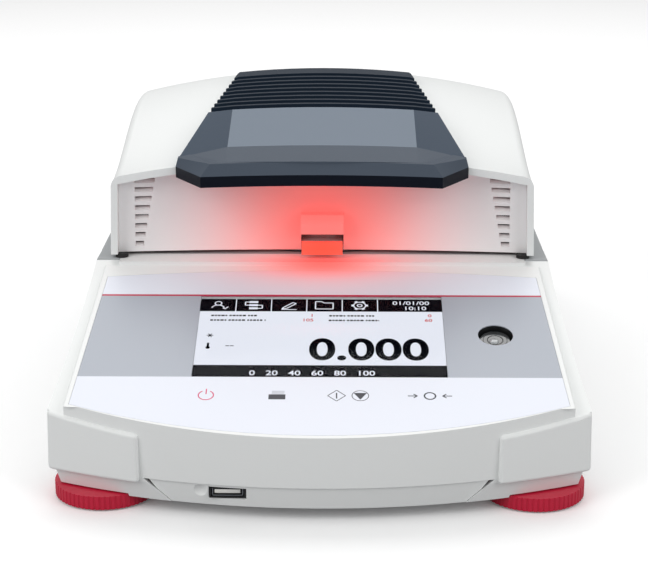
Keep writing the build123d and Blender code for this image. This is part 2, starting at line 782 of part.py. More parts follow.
# Levelling feet: a knurled wheel with its stem, on a pad
for side_name, side in (("left", -1), ("right", 1)):
    with BuildPart() as foot_wheel:
        with BuildSketch(Plane.XY.offset(foot_wheel_low)):
            with Locations((side * foot_x, foot_y)):
                Circle(foot_wheel_radius)
                with PolarLocations(foot_wheel_radius + 0.2, foot_flutes):
                    Circle(0.55, mode=Mode.SUBTRACT)
        extrude(amount=foot_wheel_height)
        with BuildSketch(Plane.XY.offset(foot_wheel_low + foot_wheel_height)):
            with Locations((side * foot_x, foot_y)):
                Circle(stem_radius)
        extrude(amount=stem_length)
        with BuildSketch(Plane.XY.offset(foot_wheel_low)):
            with Locations((side * foot_x, foot_y)):
                Circle(pad_radius + seat_gap)
        extrude(amount=3.0, mode=Mode.SUBTRACT)
    foot_wheel.part.label = "foot_wheel_" + side_name
    export_step(foot_wheel.part, "parts/foot_wheel_" + side_name + ".step")

    with BuildPart() as foot_pad:
        with BuildSketch(Plane.XY):
            with Locations((side * foot_x, foot_y)):
                Circle(pad_radius)
        extrude(amount=foot_wheel_low + 3.0 - running_gap)
    foot_pad.part.label = "foot_pad_" + side_name
    export_step(foot_pad.part, "parts/foot_pad_" + side_name + ".step")

    with BuildPart() as foot_nut:
        with BuildSketch(Plane.XY.offset(foot_wheel_low + foot_wheel_height + 1.0)):
            with Locations((side * foot_x, foot_y)):
                Circle(foot_nut_radius)
                Circle(stem_radius + running_gap, mode=Mode.SUBTRACT)
        extrude(amount=stem_length - 4.0)
    foot_nut.part.label = "foot_nut_" + side_name
    export_step(foot_nut.part, "parts/foot_nut_" + side_name + ".step")

with BuildPart() as rear_feet:
    with BuildSketch(Plane.XY):
        with Locations((-rear_foot_x, rear_foot_y), (rear_foot_x, rear_foot_y)):
            Circle(rear_foot_radius)
    extrude(amount=body_bottom)
rear_feet.part.label = "rear_feet"
export_step(rear_feet.part, "parts/rear_feet.step")


# Lid: crowned shell lofted through cross sections
def lid_section(y, inset, drop, low):
    """Cross section of the lid at one depth: straight drafted sides under a crowned top."""
    edge_z = edge_heights[y] - drop
    crown_z = crown_heights[y] - drop
    half_low = lid_half_bottom - inset
    half_high = half_low - (edge_z - lid_bottom) * tan(radians(lid_draft))
    with BuildSketch(Plane.XZ.offset(-y)) as section:
        with BuildLine():
            Line((half_low, low), (half_high, edge_z))
            ThreePointArc((half_high, edge_z), (0, crown_z), (-half_high, edge_z))
            Line((-half_high, edge_z), (-half_low, low))
            Line((-half_low, low), (half_low, low))
        make_face()
    return section.sketch


with BuildPart() as lid_hollow:
    loft([lid_section(y, lid_wall, lid_wall, lid_bottom - 2) for y in lid_places])
    with BuildSketch(Plane.XY.offset(lid_bottom - 3)):
        with Locations((0, rear_wall_y - lid_wall + 50)):
            Rectangle(300, 100)
    extrude(amount=80, mode=Mode.SUBTRACT)

with BuildPart() as lid_block:
    loft([lid_section(y, 0, 0, lid_bottom) for y in lid_places])

with BuildPart() as lid_posts:
    with BuildSketch(Plane.XY.offset(liner_z + liner_sheet)):
        with Locations(*lid_screw_places):
            Circle(boss_radius)
            Circle(screw_radius + running_gap, mode=Mode.SUBTRACT)
    extrude(amount=lid_height)
    add(lid_block.part, mode=Mode.INTERSECT)
    with BuildSketch(Plane.XY.offset(liner_z + liner_sheet + screw_length)):
        with Locations(*lid_screw_places):
            Circle(boss_radius)
    extrude(amount=lid_height)
    add(lid_block.part, mode=Mode.INTERSECT)

with BuildPart() as lid_shell:
    loft([lid_section(y, 0, 0, lid_bottom) for y in lid_places])
    fillet(lid_shell.edges().filter_by(
        lambda e: e.length > 100 and e.center().Z > 95 and abs(e.center().X) > 60), lid_edge_round)
    add(lid_hollow.part, mode=Mode.SUBTRACT)
    add(lid_posts.part)
    # The lower rear edge is round about the hinge
    with BuildSketch(Plane.YZ.offset(-reach)) as rear_relief:
        with Locations((hinge_y + 20, hinge_z - 20)):
            Rectangle(40, 40)
        with Locations((hinge_y, hinge_z)):
            Circle(hinge_round, mode=Mode.SUBTRACT)
    extrude(amount=2 * reach, mode=Mode.SUBTRACT)
    # Slots that clear the hinge brackets
    with BuildSketch(Plane.XZ.offset(-hinge_y - bracket_radius)):
        with Locations((hinge_x, hinge_z - 10), (-hinge_x, hinge_z - 10)):
            Rectangle(bracket_width + 1.2, 32)
    extrude(amount=-20, mode=Mode.SUBTRACT)
lid_shell.part.label = "lid_shell"
export_step(lid_shell.part, "parts/lid_shell.step")

with BuildPart() as lid_front_panel:
    with BuildSketch(Plane.XY.offset(lid_bottom)):
        with BuildLine():
            half = lid_half_bottom
            panel_side_y = deck_y + panel_recess_side
            panel_mid_y = panel_side_y + panel_sagitta
            ThreePointArc((-half, panel_side_y), (0, panel_mid_y), (half, panel_side_y))
            Line((half, panel_side_y), (half, panel_side_y + panel_thickness))
            ThreePointArc((half, panel_side_y + panel_thickness), (0, panel_mid_y + panel_thickness),
                          (-half, panel_side_y + panel_thickness))
            Line((-half, panel_side_y + panel_thickness), (-half, panel_side_y))
        make_face()
    extrude(amount=2 * panel_height)
    loft([lid_section(y, lid_wall + panel_gap, lid_wall + panel_gap, lid_bottom - 2)
          for y in lid_places], mode=Mode.INTERSECT)
    with BuildSketch(Plane.XZ.offset(-panel_side_y + 20)):
        with Locations((0, (notch_top + lid_bottom) / 2 - 1)):
            Rectangle(notch_width, notch_top - lid_bottom + 2)
    extrude(amount=-60, mode=Mode.SUBTRACT)
    # Vent slots, their lower faces sloping up to a narrow opening behind
    for slot in range(slot_count):
        slot_z = slot_first_z + slot * slot_pitch
        slot_width = slot_short + (slot_long - slot_short) * slot / (slot_count - 1)
        slot_outer = slot_outer_x + slot_lean * slot / (slot_count - 1)
        slot_face = panel_side_y + panel_sagitta * (1 - (slot_outer / lid_half_bottom) ** 2)
        for slot_side in (-1, 1):
            slot_middle = slot_side * (slot_outer - slot_width / 2)
            with BuildSketch(Plane.YZ.offset(slot_middle - slot_width / 2)):
                with BuildLine():
                    Polyline((slot_face - 2, slot_z - slot_height / 2),
                             (slot_face + 0.3, slot_z - slot_height / 2),
                             (slot_face + panel_thickness + 1, slot_z + slot_height / 2 - slot_gap),
                             (slot_face + panel_thickness + 2, slot_z + slot_height / 2 - slot_gap),
                             (slot_face + panel_thickness + 2, slot_z + slot_height / 2),
                             (slot_face - 2, slot_z + slot_height / 2), close=True)
                make_face()
            extrude(amount=slot_width, mode=Mode.SUBTRACT)
    with BuildSketch(Plane.YZ.offset(-notch_width / 2)):
        with BuildLine():
            Polyline((panel_mid_y + 1, notch_top), (panel_mid_y - hood_reach, notch_top),
                     (panel_mid_y - hood_reach, notch_top + hood_height * 0.6),
                     (panel_mid_y - hood_reach + 2, notch_top + hood_height),
                     (panel_mid_y + 1, notch_top + hood_height), close=True)
        make_face()
    extrude(amount=notch_width)
lid_front_panel.part.label = "lid_front_panel"
export_step(lid_front_panel.part, "parts/lid_front_panel.step")


# Lid cover: ribbed dark moulding with a lip that stands out over the front panel
def cover_section(y, drop, draw_in):
    """Cross section of the cover: a crowned facet between two sloped side facets."""
    half, side_z, facet_z, crown = cover_stations[y]
    half = half - draw_in
    inner = min(facet_half, half - 0.5)
    with BuildSketch(Plane.XZ.offset(-y)) as section:
        with BuildLine():
            Line((half, cover_floor), (half, side_z - drop))
            Line((half, side_z - drop), (inner, facet_z - drop))
            ThreePointArc((inner, facet_z - drop), (0, facet_z + crown - drop), (-inner, facet_z - drop))
            Line((-inner, facet_z - drop), (-half, side_z - drop))
            Line((-half, side_z - drop), (-half, cover_floor))
            Line((-half, cover_floor), (half, cover_floor))
        make_face()
    return section.sketch


def lip_outline(level, set_back):
    """Plan outline of the lip at one level."""
    with BuildSketch(Plane.XY.offset(level)) as outline:
        with BuildLine():
            end = (lip_end_half - set_back / 3, lip_end_y + set_back / 2)
            corner = (lip_corner_half - set_back, lip_corner_y + set_back)
            Line((end[0], lip_end_y + lip_end_back), end)
            Line(end, corner)
            ThreePointArc(corner, (0, lip_middle_y + set_back), (-corner[0], corner[1]))
            Line((-corner[0], corner[1]), (-end[0], end[1]))
            Line((-end[0], end[1]), (-end[0], lip_end_y + lip_end_back))
            Line((-end[0], lip_end_y + lip_end_back), (end[0], lip_end_y + lip_end_back))
        make_face()
    return outline.sketch


cover_places = list(cover_stations)
lip_band_top = lip_bottom + lip_band
with BuildPart() as groove_cutter:
    with BuildSketch(Plane.YZ.offset(-reach)):
        for groove in range(groove_count):
            with Locations((groove_first_y + groove * groove_pitch, cover_floor + 25)):
                Rectangle(groove_width, 50)
    extrude(amount=2 * reach)
    loft([cover_section(y, groove_depth, groove_side) for y in cover_places], ruled=True,
         mode=Mode.SUBTRACT)

with BuildPart() as lid_lip:
    extrude(lip_outline(lip_bottom, 0), amount=lip_band)
    loft([lip_outline(lip_band_top, 0), lip_outline(lip_band_top + lip_chamfer, lip_set_back)],
         ruled=True)
    # The side facets run on over the lip's ends
    for lip_side in (1, -1):
        end, corner, crease = [Vector(lip_side * p[0], p[1], p[2])
                               for p in (lip_top_end, lip_top_corner, lip_top_crease)]
        across = (corner - end).cross(crease - end)
        facet_plane = Plane(origin=end, z_dir=across if across.Z > 0 else -across)
        split(bisect_by=facet_plane, keep=Keep.BOTTOM)

with BuildPart() as lid_cover:
    loft([cover_section(y, 0, 0) for y in cover_places], ruled=True)
    with BuildSketch(Plane.XY.offset(cover_floor - 1)):
        with Locations((0, deck_y - 50)):
            Rectangle(300, 100)
    extrude(amount=lip_band_top - cover_floor + 1, mode=Mode.SUBTRACT)
    add(lid_lip.part)
    add(lid_block.part, mode=Mode.SUBTRACT)
    add(groove_cutter.part, mode=Mode.SUBTRACT)
    with BuildSketch(Plane.XY.offset(lip_bottom - 1)):
        with Locations((0, lip_middle_y + 8)):
            Rectangle(2 * lens_half + 0.4, lens_width + 0.4)
    extrude(amount=1 + lens_drop + lamp_gap + status_sheet, mode=Mode.SUBTRACT)
lid_cover.part.label = "lid_cover"
export_step(lid_cover.part, "parts/lid_cover.step")

with BuildPart() as status_lens:
    with BuildSketch(Plane.XY.offset(lip_bottom)):
        with Locations((0, lip_middle_y + 8)):
            RectangleRounded(2 * lens_half, lens_width, 1.0)
    extrude(amount=lens_drop)
status_lens.part.label = "status_lens"
export_step(status_lens.part, "parts/status_lens.step")

with BuildPart() as status_board:
    with BuildSketch(Plane.XY.offset(lip_bottom + lens_drop + lamp_gap)):
        with Locations((0, lip_middle_y + 8)):
            Rectangle(2 * lens_half, lens_width)
    extrude(amount=status_sheet)
    # Light-emitting diodes between the board and the lens
    with BuildSketch(Plane.XY.offset(lip_bottom + lens_drop + lamp_gap)):
        with Locations((0, lip_middle_y + 8)):
            with GridLocations(2 * lens_half / 5, 1, 5, 1):
                Rectangle(3.0, 2.0)
    extrude(amount=-lamp_gap)
status_board.part.label = "status_board"
export_step(status_board.part, "parts/status_board.step")

with BuildPart() as lid_bumpers:
    with BuildSketch(Plane.XY.offset(deck_top + running_gap)):
        with Locations((bumper_x, deck_y + bumper_radius), (-bumper_x, deck_y + bumper_radius)):
            Circle(bumper_radius)
    extrude(amount=lid_bottom - deck_top - running_gap)
lid_bumpers.part.label = "lid_bumpers"
export_step(lid_bumpers.part, "parts/lid_bumpers.step")

# Heater: liner, reflector, ring lamp, protective glass
with BuildPart() as lid_liner:
    with BuildSketch(Plane.XY.offset(liner_z)):
        with Locations((0, (liner_front_y + liner_rear_y) / 2)):
            Rectangle(2 * liner_half, liner_rear_y - liner_front_y)
        with Locations((0, chamber_y)):
            Circle(heater_radius, mode=Mode.SUBTRACT)
        with Locations(*lid_screw_places):
            Circle(screw_radius + running_gap, mode=Mode.SUBTRACT)
    extrude(amount=liner_sheet)
lid_liner.part.label = "lid_liner"
export_step(lid_liner.part, "parts/lid_liner.step")

with BuildPart() as lid_screws:
    with Locations(*[(x, y, liner_z) for x, y in lid_screw_places]):
        add(screw.part)
lid_screws.part.label = "lid_screws"
export_step(lid_screws.part, "parts/lid_screws.step")

with BuildPart() as heater_collar:
    with BuildSketch(Plane.XY.offset(liner_z + liner_sheet)):
        with Locations((0, chamber_y)):
            Circle(heater_radius + liner_sheet)
            Circle(heater_radius, mode=Mode.SUBTRACT)
    extrude(amount=glass_z + glass_thickness + 3 - liner_z - liner_sheet)
heater_collar.part.label = "heater_collar"
export_step(heater_collar.part, "parts/heater_collar.step")

with BuildPart() as heater_glass:
    with BuildSketch(Plane.XY.offset(glass_z)):
        with Locations((0, chamber_y)):
            Circle(heater_radius - seat_gap)
    extrude(amount=glass_thickness)
heater_glass.part.label = "heater_glass"
export_step(heater_glass.part, "parts/heater_glass.step")

with BuildPart() as glass_ring:
    with BuildSketch(Plane.XY.offset(glass_z - 2.0)):
        with Locations((0, chamber_y)):
            Circle(heater_radius - running_gap)
            Circle(heater_radius - 5.0, mode=Mode.SUBTRACT)
    extrude(amount=2.0)
glass_ring.part.label = "glass_ring"
export_step(glass_ring.part, "parts/glass_ring.step")

with BuildPart() as heater_reflector:
    with BuildSketch(Plane.XZ):
        with BuildLine():
            rim_z = glass_z + glass_thickness + 3
            dish = Polyline((0, reflector_top), (lamp_radius + lamp_tube + 3, reflector_top - 3),
                            (heater_radius, rim_z))
            offset(dish, amount=liner_sheet, side=Side.LEFT)
        make_face()
    revolve(axis=Axis.Z)
reflector_placed = Pos(0, chamber_y, 0) * heater_reflector.part
reflector_placed.label = "heater_reflector"
export_step(reflector_placed, "parts/heater_reflector.step")

with BuildPart() as ring_lamp:
    with BuildSketch(Plane.XZ):
        with Locations((lamp_radius, lamp_z)):
            Circle(lamp_tube)
    revolve(axis=Axis.Z, revolution_arc=lamp_arc)
lamp_placed = Pos(0, chamber_y, 0) * Rot(0, 0, 90 - lamp_arc / 2 + 180) * ring_lamp.part
lamp_placed.label = "ring_lamp"
export_step(lamp_placed, "parts/ring_lamp.step")

with BuildPart() as lamp_holders:
    with BuildSketch(Plane.XY.offset(glass_z + glass_thickness + 0.6)):
        with Locations((-6.5, chamber_y + lamp_radius), (6.5, chamber_y + lamp_radius)):
            Rectangle(6, 12)
    extrude(amount=10.0)
lamp_holders.part.label = "lamp_holders"
export_step(lamp_holders.part, "parts/lamp_holders.step")

with BuildPart() as chamber_probe:
    with BuildSketch(Plane.XY.offset(probe_low)):
        with Locations((heater_radius - 8, chamber_y + 20)):
            Circle(1.5)
    extrude(amount=glass_z - 2.0 - probe_low)
chamber_probe.part.label = "chamber_probe"
export_step(chamber_probe.part, "parts/chamber_probe.step")

# Hinges: brackets on the deck, arms on the lid, pins through both
def hinge_plate(x_low, width, radius, foot_y_low, foot_y_high, foot_z):
    """Side view of a hinge plate round the hinge axis, extruded across."""
    with BuildSketch(Plane.YZ.offset(x_low)) as side_view:
        with Locations((hinge_y, hinge_z)):
            Circle(radius)
        with BuildLine():
            Polyline((foot_y_low, foot_z), (foot_y_low, hinge_z), (foot_y_high, hinge_z),
                     (foot_y_high, foot_z), close=True)
        make_face()
        with Locations((hinge_y, hinge_z)):
            Circle(pin_radius + running_gap, mode=Mode.SUBTRACT)
    return side_view.sketch


with BuildPart() as hinge_brackets:
    for bracket_x in (-hinge_x - bracket_width / 2, hinge_x - bracket_width / 2):
        extrude(hinge_plate(bracket_x, bracket_width, bracket_radius, hinge_y - bracket_radius,
                            hinge_y + bracket_radius, deck_top), amount=bracket_width)
hinge_brackets.part.label = "hinge_brackets"
export_step(hinge_brackets.part, "parts/hinge_brackets.step")

with BuildPart() as hinge_arms:
    for side in (-1, 1):
        for arm in (-1, 1):
            arm_x = side * hinge_x + arm * (bracket_width / 2 + arm_width / 2 + 0.4) - arm_width / 2
            extrude(hinge_plate(arm_x, arm_width, bracket_radius, hinge_y - bracket_radius,
                                hinge_y + hinge_round - lid_wall, hinge_z - 1), amount=arm_width)
hinge_arms.part.label = "hinge_arms"
export_step(hinge_arms.part, "parts/hinge_arms.step")

with BuildPart() as hinge_pins:
    with BuildSketch(Plane.YZ):
        with Locations((hinge_y, hinge_z)):
            Circle(pin_radius)
    extrude(amount=hinge_x + pin_half, both=True)
    with BuildSketch(Plane.YZ):
        with Locations((hinge_y, hinge_z)):
            Circle(3 * pin_radius)
    extrude(amount=hinge_x - pin_half, both=True, mode=Mode.SUBTRACT)
hinge_pins.part.label = "hinge_pins"
export_step(hinge_pins.part, "parts/hinge_pins.step")
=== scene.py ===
"""Bench moisture analyzer: finishes, printed film, screen picture, small fittings and a plain studio.

Everything is in metres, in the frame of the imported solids: the front faces -Y, the bench is at Z 0.
"""

import json
import logging
import math
from dataclasses import dataclass
from enum import Enum
from typing import Any, Optional, Sequence

import bpy
from mathutils import Euler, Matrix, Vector

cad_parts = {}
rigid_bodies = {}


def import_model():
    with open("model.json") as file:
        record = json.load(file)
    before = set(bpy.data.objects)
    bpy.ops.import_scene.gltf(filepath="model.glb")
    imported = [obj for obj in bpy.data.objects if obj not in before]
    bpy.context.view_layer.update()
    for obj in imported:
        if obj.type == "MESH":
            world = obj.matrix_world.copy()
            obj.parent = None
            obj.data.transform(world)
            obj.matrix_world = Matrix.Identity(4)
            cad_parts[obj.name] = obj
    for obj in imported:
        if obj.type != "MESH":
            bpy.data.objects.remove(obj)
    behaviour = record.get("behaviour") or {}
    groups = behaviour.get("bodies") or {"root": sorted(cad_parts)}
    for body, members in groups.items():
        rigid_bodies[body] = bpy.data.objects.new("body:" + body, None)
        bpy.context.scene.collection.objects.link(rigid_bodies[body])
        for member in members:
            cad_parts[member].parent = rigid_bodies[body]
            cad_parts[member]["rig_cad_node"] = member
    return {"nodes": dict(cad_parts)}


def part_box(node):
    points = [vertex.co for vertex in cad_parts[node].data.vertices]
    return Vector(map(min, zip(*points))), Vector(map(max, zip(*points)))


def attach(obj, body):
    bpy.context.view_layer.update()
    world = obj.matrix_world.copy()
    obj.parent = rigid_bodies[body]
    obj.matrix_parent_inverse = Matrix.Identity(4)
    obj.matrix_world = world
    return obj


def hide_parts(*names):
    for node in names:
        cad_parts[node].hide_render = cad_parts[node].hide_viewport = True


frame: dict[str, Any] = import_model()

MM = 0.001
SRGB_KNEE = 0.04045
FLOOR_SIZE = 12.0
ROOM_LIGHT = 0.42
WHITE_ROOM = 1.0
AIM_HEIGHT = 0.06
LOG = logging.getLogger("analyzer")
Point = tuple[float, float]


def linear(code: str) -> tuple[float, float, float, float]:
    """Turns an sRGB hex colour into linear values.

    Args:
        code: Six hex digits, such as "E1E4E2".

    Returns:
        Linear red, green, blue and an alpha of 1.
    """
    values = [int(code[i:i + 2], 16) / 255 for i in (0, 2, 4)]
    red, green, blue = [v / 12.92 if v <= SRGB_KNEE else ((v + 0.055) / 1.055) ** 2.4 for v in values]
    return (red, green, blue, 1.0)


def add_node(tree: bpy.types.NodeTree, kind: str, settings: Optional[dict[str, Any]] = None,
             **links: Any) -> bpy.types.Node:
    """Adds one node with its settings and its inputs.

    Args:
        tree: The node tree.
        kind: The node's type name.
        settings: Values of the node's own properties.
        **links: Input name (spaces as underscores, or in0, in1 for a place) to a value or a socket.

    Returns:
        The new node.
    """
    node = tree.nodes.new(kind)
    for key, value in (settings or {}).items():
        setattr(node, key, value)
    for key, value in links.items():
        place = int(key[2:]) if key[:2] == "in" and key[2:].isdigit() else key.replace("_", " ")
        if isinstance(value, bpy.types.NodeSocket):
            tree.links.new(value, node.inputs[place])
        else:
            node.inputs[place].default_value = value
    return node


class Relief(Enum):
    """What the surface pattern of a finish looks like."""

    GRAIN = "moulded grain"
    TURNED = "turned rings"
    BRUSHED = "brushed lines"
    CAST = "cast skin"
    SMOOTH = "smooth"


@dataclass(frozen=True)
class RedLight:
    """Red light of the status lamp on a surface, drawn as a tint that fades from one place.

    The plain colour transform turns strong red light pink or white, so the tint keeps its hue. All
    sizes are in millimetres.
    """

    centre: tuple[float, float, float]
    spread: tuple[float, float, float]
    near: str = "FF5A52"
    far: str = "FFA6AC"
    glow: float = 0.1
    power: float = 1.0

    def weight(self, tree: bpy.types.NodeTree) -> bpy.types.NodeSocket:
        """Adds the nodes of the light's strength.

        Args:
            tree: The material's node tree.

        Returns:
            The socket that holds the strength, 1 at the centre and 0 far away.
        """
        place = add_node(tree, "ShaderNodeTexCoord").outputs["Object"]
        away = add_node(tree, "ShaderNodeVectorMath", {"operation": "SUBTRACT"}, in0=place,
                        in1=tuple(c * MM for c in self.centre)).outputs[0]
        ratio = add_node(tree, "ShaderNodeVectorMath", {"operation": "DIVIDE"}, in0=away,
                         in1=tuple(c * MM for c in self.spread)).outputs[0]
        square = add_node(tree, "ShaderNodeVectorMath", {"operation": "DOT_PRODUCT"}, in0=ratio,
                          in1=ratio).outputs["Value"]
        fall = add_node(tree, "ShaderNodeMath", {"operation": "POWER"}, in0=square,
                        in1=self.power).outputs[0]
        less = add_node(tree, "ShaderNodeMath", {"operation": "MULTIPLY"}, in0=fall,
                        in1=-1.0).outputs[0]
        return add_node(tree, "ShaderNodeMath", {"operation": "EXPONENT"}, in0=less).outputs[0]

    def over(self, tree: bpy.types.NodeTree, colour: bpy.types.NodeSocket,
             shader: bpy.types.Node) -> bpy.types.NodeSocket:
        """Lays the tint over a colour and lets the surface shine faintly in it.

        Args:
            tree: The material's node tree.
            colour: The surface's own colour.
            shader: The principled shader.

        Returns:
            The tinted colour.
        """
        weight = self.weight(tree)
        tint = add_node(tree, "ShaderNodeMix", {"data_type": "RGBA"}, in0=weight,
                        in6=linear(self.far), in7=linear(self.near)).outputs[2]
        mix = add_node(tree, "ShaderNodeMix", {"data_type": "RGBA"}, in0=weight, in6=colour, in7=tint)
        shine = add_node(tree, "ShaderNodeMath", {"operation": "MULTIPLY"}, in0=weight,
                         in1=self.glow).outputs[0]
        tree.links.new(shine, shader.inputs["Emission Strength"])
        shader.inputs["Emission Color"].default_value = linear(self.near)
        return mix.outputs[2]


@dataclass(frozen=True)
class Finish:
    """One finish: a base colour with a fine pattern in its tone, gloss and relief.

    Grain is the size of the surface pattern in millimetres and depth its height.
    """

    name: str
    colour: str
    slot: str
    roughness: float = 0.5
    metallic: float = 0.0
    grain: float = 0.5
    depth: float = 0.02
    tone: float = 0.03
    relief: Relief = Relief.GRAIN
    coat: float = 0.0
    transmission: float = 0.0
    ior: float = 1.5
    specular: float = 0.5
    glow: float = 0.0
    glow_colour: str = "FFFFFF"
    subsurface: float = 0.0
    light: Optional[RedLight] = None

    def shader(self) -> tuple[bpy.types.Material, bpy.types.NodeTree, bpy.types.Node]:
        """Makes the material with its principled shader.

        Returns:
            The material, its node tree and the shader node.
        """
        material = bpy.data.materials.new(self.name)
        material.use_nodes = True
        tree = material.node_tree
        tree.nodes.clear()
        out = tree.nodes.new("ShaderNodeOutputMaterial")
        shader = tree.nodes.new("ShaderNodeBsdfPrincipled")
        tree.links.new(shader.outputs["BSDF"], out.inputs["Surface"])
        shader.inputs["Metallic"].default_value = self.metallic
        shader.inputs["Roughness"].default_value = self.roughness
        shader.inputs["Coat Weight"].default_value = self.coat
        shader.inputs["Transmission Weight"].default_value = self.transmission
        if not self.metallic:
            shader.inputs["IOR"].default_value = self.ior
            shader.inputs["Specular IOR Level"].default_value = self.specular
        if self.glow:
            shader.inputs["Emission Color"].default_value = linear(self.glow_colour)
            shader.inputs["Emission Strength"].default_value = self.glow
        if self.subsurface:
            shader.inputs["Subsurface Weight"].default_value = self.subsurface
            shader.inputs["Subsurface Scale"].default_value = 2 * MM
        material.diffuse_color = linear(self.colour)
        return material, tree, shader

    def pattern(self, tree: bpy.types.NodeTree) -> bpy.types.NodeSocket:
        """Adds the nodes of the surface pattern.

        Args:
            tree: The material's node tree.

        Returns:
            The socket that holds the pattern, 0 to 1.
        """
        place = add_node(tree, "ShaderNodeTexCoord").outputs["Object"]
        scale = 1 / (self.grain * MM)
        if self.relief is Relief.TURNED:
            centre = add_node(tree, "ShaderNodeMapping", Vector=place, Location=(0, -28 * MM, 0))
            wave = add_node(tree, "ShaderNodeTexWave", {"wave_type": "RINGS", "rings_direction": "Z"},
                            Vector=centre.outputs[0], Scale=scale / 6, Distortion=0.4, Detail=2.0)
            return wave.outputs["Fac"]
        if self.relief is Relief.BRUSHED:
            stretched = add_node(tree, "ShaderNodeMapping", Vector=place, Scale=(0.03, 1.0, 1.0))
            return add_node(tree, "ShaderNodeTexNoise", Vector=stretched.outputs[0], Scale=scale,
                            Detail=3.0).outputs["Fac"]
        detail = 5.0 if self.relief is Relief.CAST else 2.0
        return add_node(tree, "ShaderNodeTexNoise", Vector=place, Scale=scale, Detail=detail).outputs["Fac"]

    def base(self, tree: bpy.types.NodeTree, pattern: bpy.types.NodeSocket) -> bpy.types.NodeSocket:
        """Mixes the base colour from a darker and a lighter tone.

        Args:
            tree: The material's node tree.
            pattern: The socket of the surface pattern.

        Returns:
            The socket that holds the colour.
        """
        shade = linear(self.colour)
        low = tuple(c * (1 - self.tone) for c in shade[:3]) + (1.0,)
        high = tuple(min(c * (1 + self.tone), 1.0) for c in shade[:3]) + (1.0,)
        return add_node(tree, "ShaderNodeMix", {"data_type": "RGBA"}, in0=pattern, in6=low,
                        in7=high).outputs[2]

    def material(self) -> bpy.types.Material:
        """Builds the finished material.

        Returns:
            The material.
        """
        material, tree, shader = self.shader()
        pattern = self.pattern(tree)
        colour = self.base(tree, pattern)
        if self.light:
            colour = self.light.over(tree, colour, shader)
        tree.links.new(colour, shader.inputs["Base Color"])
        if self.depth:
            bump = add_node(tree, "ShaderNodeBump", Height=pattern, Strength=1.0,
                            Distance=self.depth * MM)
            tree.links.new(bump.outputs[0], shader.inputs["Normal"])
            low_gloss = max(self.roughness - 0.06, 0.02)
            gloss = add_node(tree, "ShaderNodeMapRange", Value=pattern, To_Min=low_gloss,
                             To_Max=min(self.roughness + 0.06, 1.0))
            tree.links.new(gloss.outputs[0], shader.inputs["Roughness"])
        return material


@dataclass(frozen=True)
class PrintedFilm(Finish):
    """Polyester film printed from behind: a grey band with a red line over it, on pale blue-white."""

    band: str = "A8AEB8"
    line: str = "B8103F"
    screen_y: float = -123.0
    screen_z: float = 45.4
    slope: float = 16.0
    band_top: float = 56.0
    line_width: float = 1.2

    def base(self, tree: bpy.types.NodeTree, pattern: bpy.types.NodeSocket) -> bpy.types.NodeSocket:
        """Colours the band and the line by the distance up the slope."""
        place = add_node(tree, "ShaderNodeTexCoord").outputs["Object"]
        turn = math.radians(self.slope)
        up = add_node(tree, "ShaderNodeVectorMath", {"operation": "DOT_PRODUCT"}, in0=place,
                      in1=(0.0, math.cos(turn), math.sin(turn))).outputs["Value"]
        start = (self.screen_y * math.cos(turn) + self.screen_z * math.sin(turn)) * MM
        colour: Any = linear(self.colour)
        for low, high, tint in ((0.0, self.band_top, self.band),
                                (self.band_top, self.band_top + self.line_width, self.line)):
            above = add_node(tree, "ShaderNodeMath", {"operation": "GREATER_THAN"}, in0=up,
                             in1=start + low * MM).outputs[0]
            below = add_node(tree, "ShaderNodeMath", {"operation": "LESS_THAN"}, in0=up,
                             in1=start + high * MM).outputs[0]
            inside = add_node(tree, "ShaderNodeMath", {"operation": "MULTIPLY"}, in0=above,
                              in1=below).outputs[0]
            mix = add_node(tree, "ShaderNodeMix", {"data_type": "RGBA"}, in0=inside, in6=colour,
                           in7=linear(tint))
            colour = mix.outputs[2]
        return colour


@dataclass(frozen=True)
class CoverFinish(Finish):
    """The cover's nylon: a brighter front facet, dark ribs, and a nearly black lip.

    The facet's lighter tone is a painted reflection of the overhead lamp; the chamfer, the ribs and the lip
    carry painted light and shade for how each faces the lamps, all on one plastic.
    """

    facet: str = "727D8A"
    ribs: str = "1C2836"
    chamfer: str = "4A535F"
    lip: str = "060D1A"

    def base(self, tree: bpy.types.NodeTree, pattern: bpy.types.NodeSocket) -> bpy.types.NodeSocket:
        """Colours the facet, the ribs, the chamfer and the lip by their place."""
        colour = super().base(tree, pattern)
        place = add_node(tree, "ShaderNodeTexCoord").outputs["Object"]
        across, depth, height = add_node(tree, "ShaderNodeSeparateXYZ", in0=place).outputs
        aside = add_node(tree, "ShaderNodeMath", {"operation": "ABSOLUTE"}, in0=across).outputs[0]
        # painted light and shade: the facet lighter as a painted reflection, the ribs and lip darker as
        # painted shade, the chamfer toned as painted light
        areas = (
            (self.facet, ((aside, "LESS_THAN", 39.6), (depth, "LESS_THAN", -3.0))),
            (self.ribs, ((depth, "GREATER_THAN", -3.0),)),
            (self.chamfer, ((depth, "LESS_THAN", -40.2),)),
            (self.lip, ((depth, "LESS_THAN", -20.0), (height, "LESS_THAN", 109.2))),
        )
        for tint, limits in areas:
            inside: Any = 1.0
            for value, test, limit in limits:
                one = add_node(tree, "ShaderNodeMath", {"operation": test}, in0=value,
                               in1=limit * MM).outputs[0]
                inside = add_node(tree, "ShaderNodeMath", {"operation": "MULTIPLY"}, in0=inside,
                                  in1=one).outputs[0]
            colour = add_node(tree, "ShaderNodeMix", {"data_type": "RGBA"}, in0=inside, in6=colour,
                              in7=linear(tint)).outputs[2]
        return colour


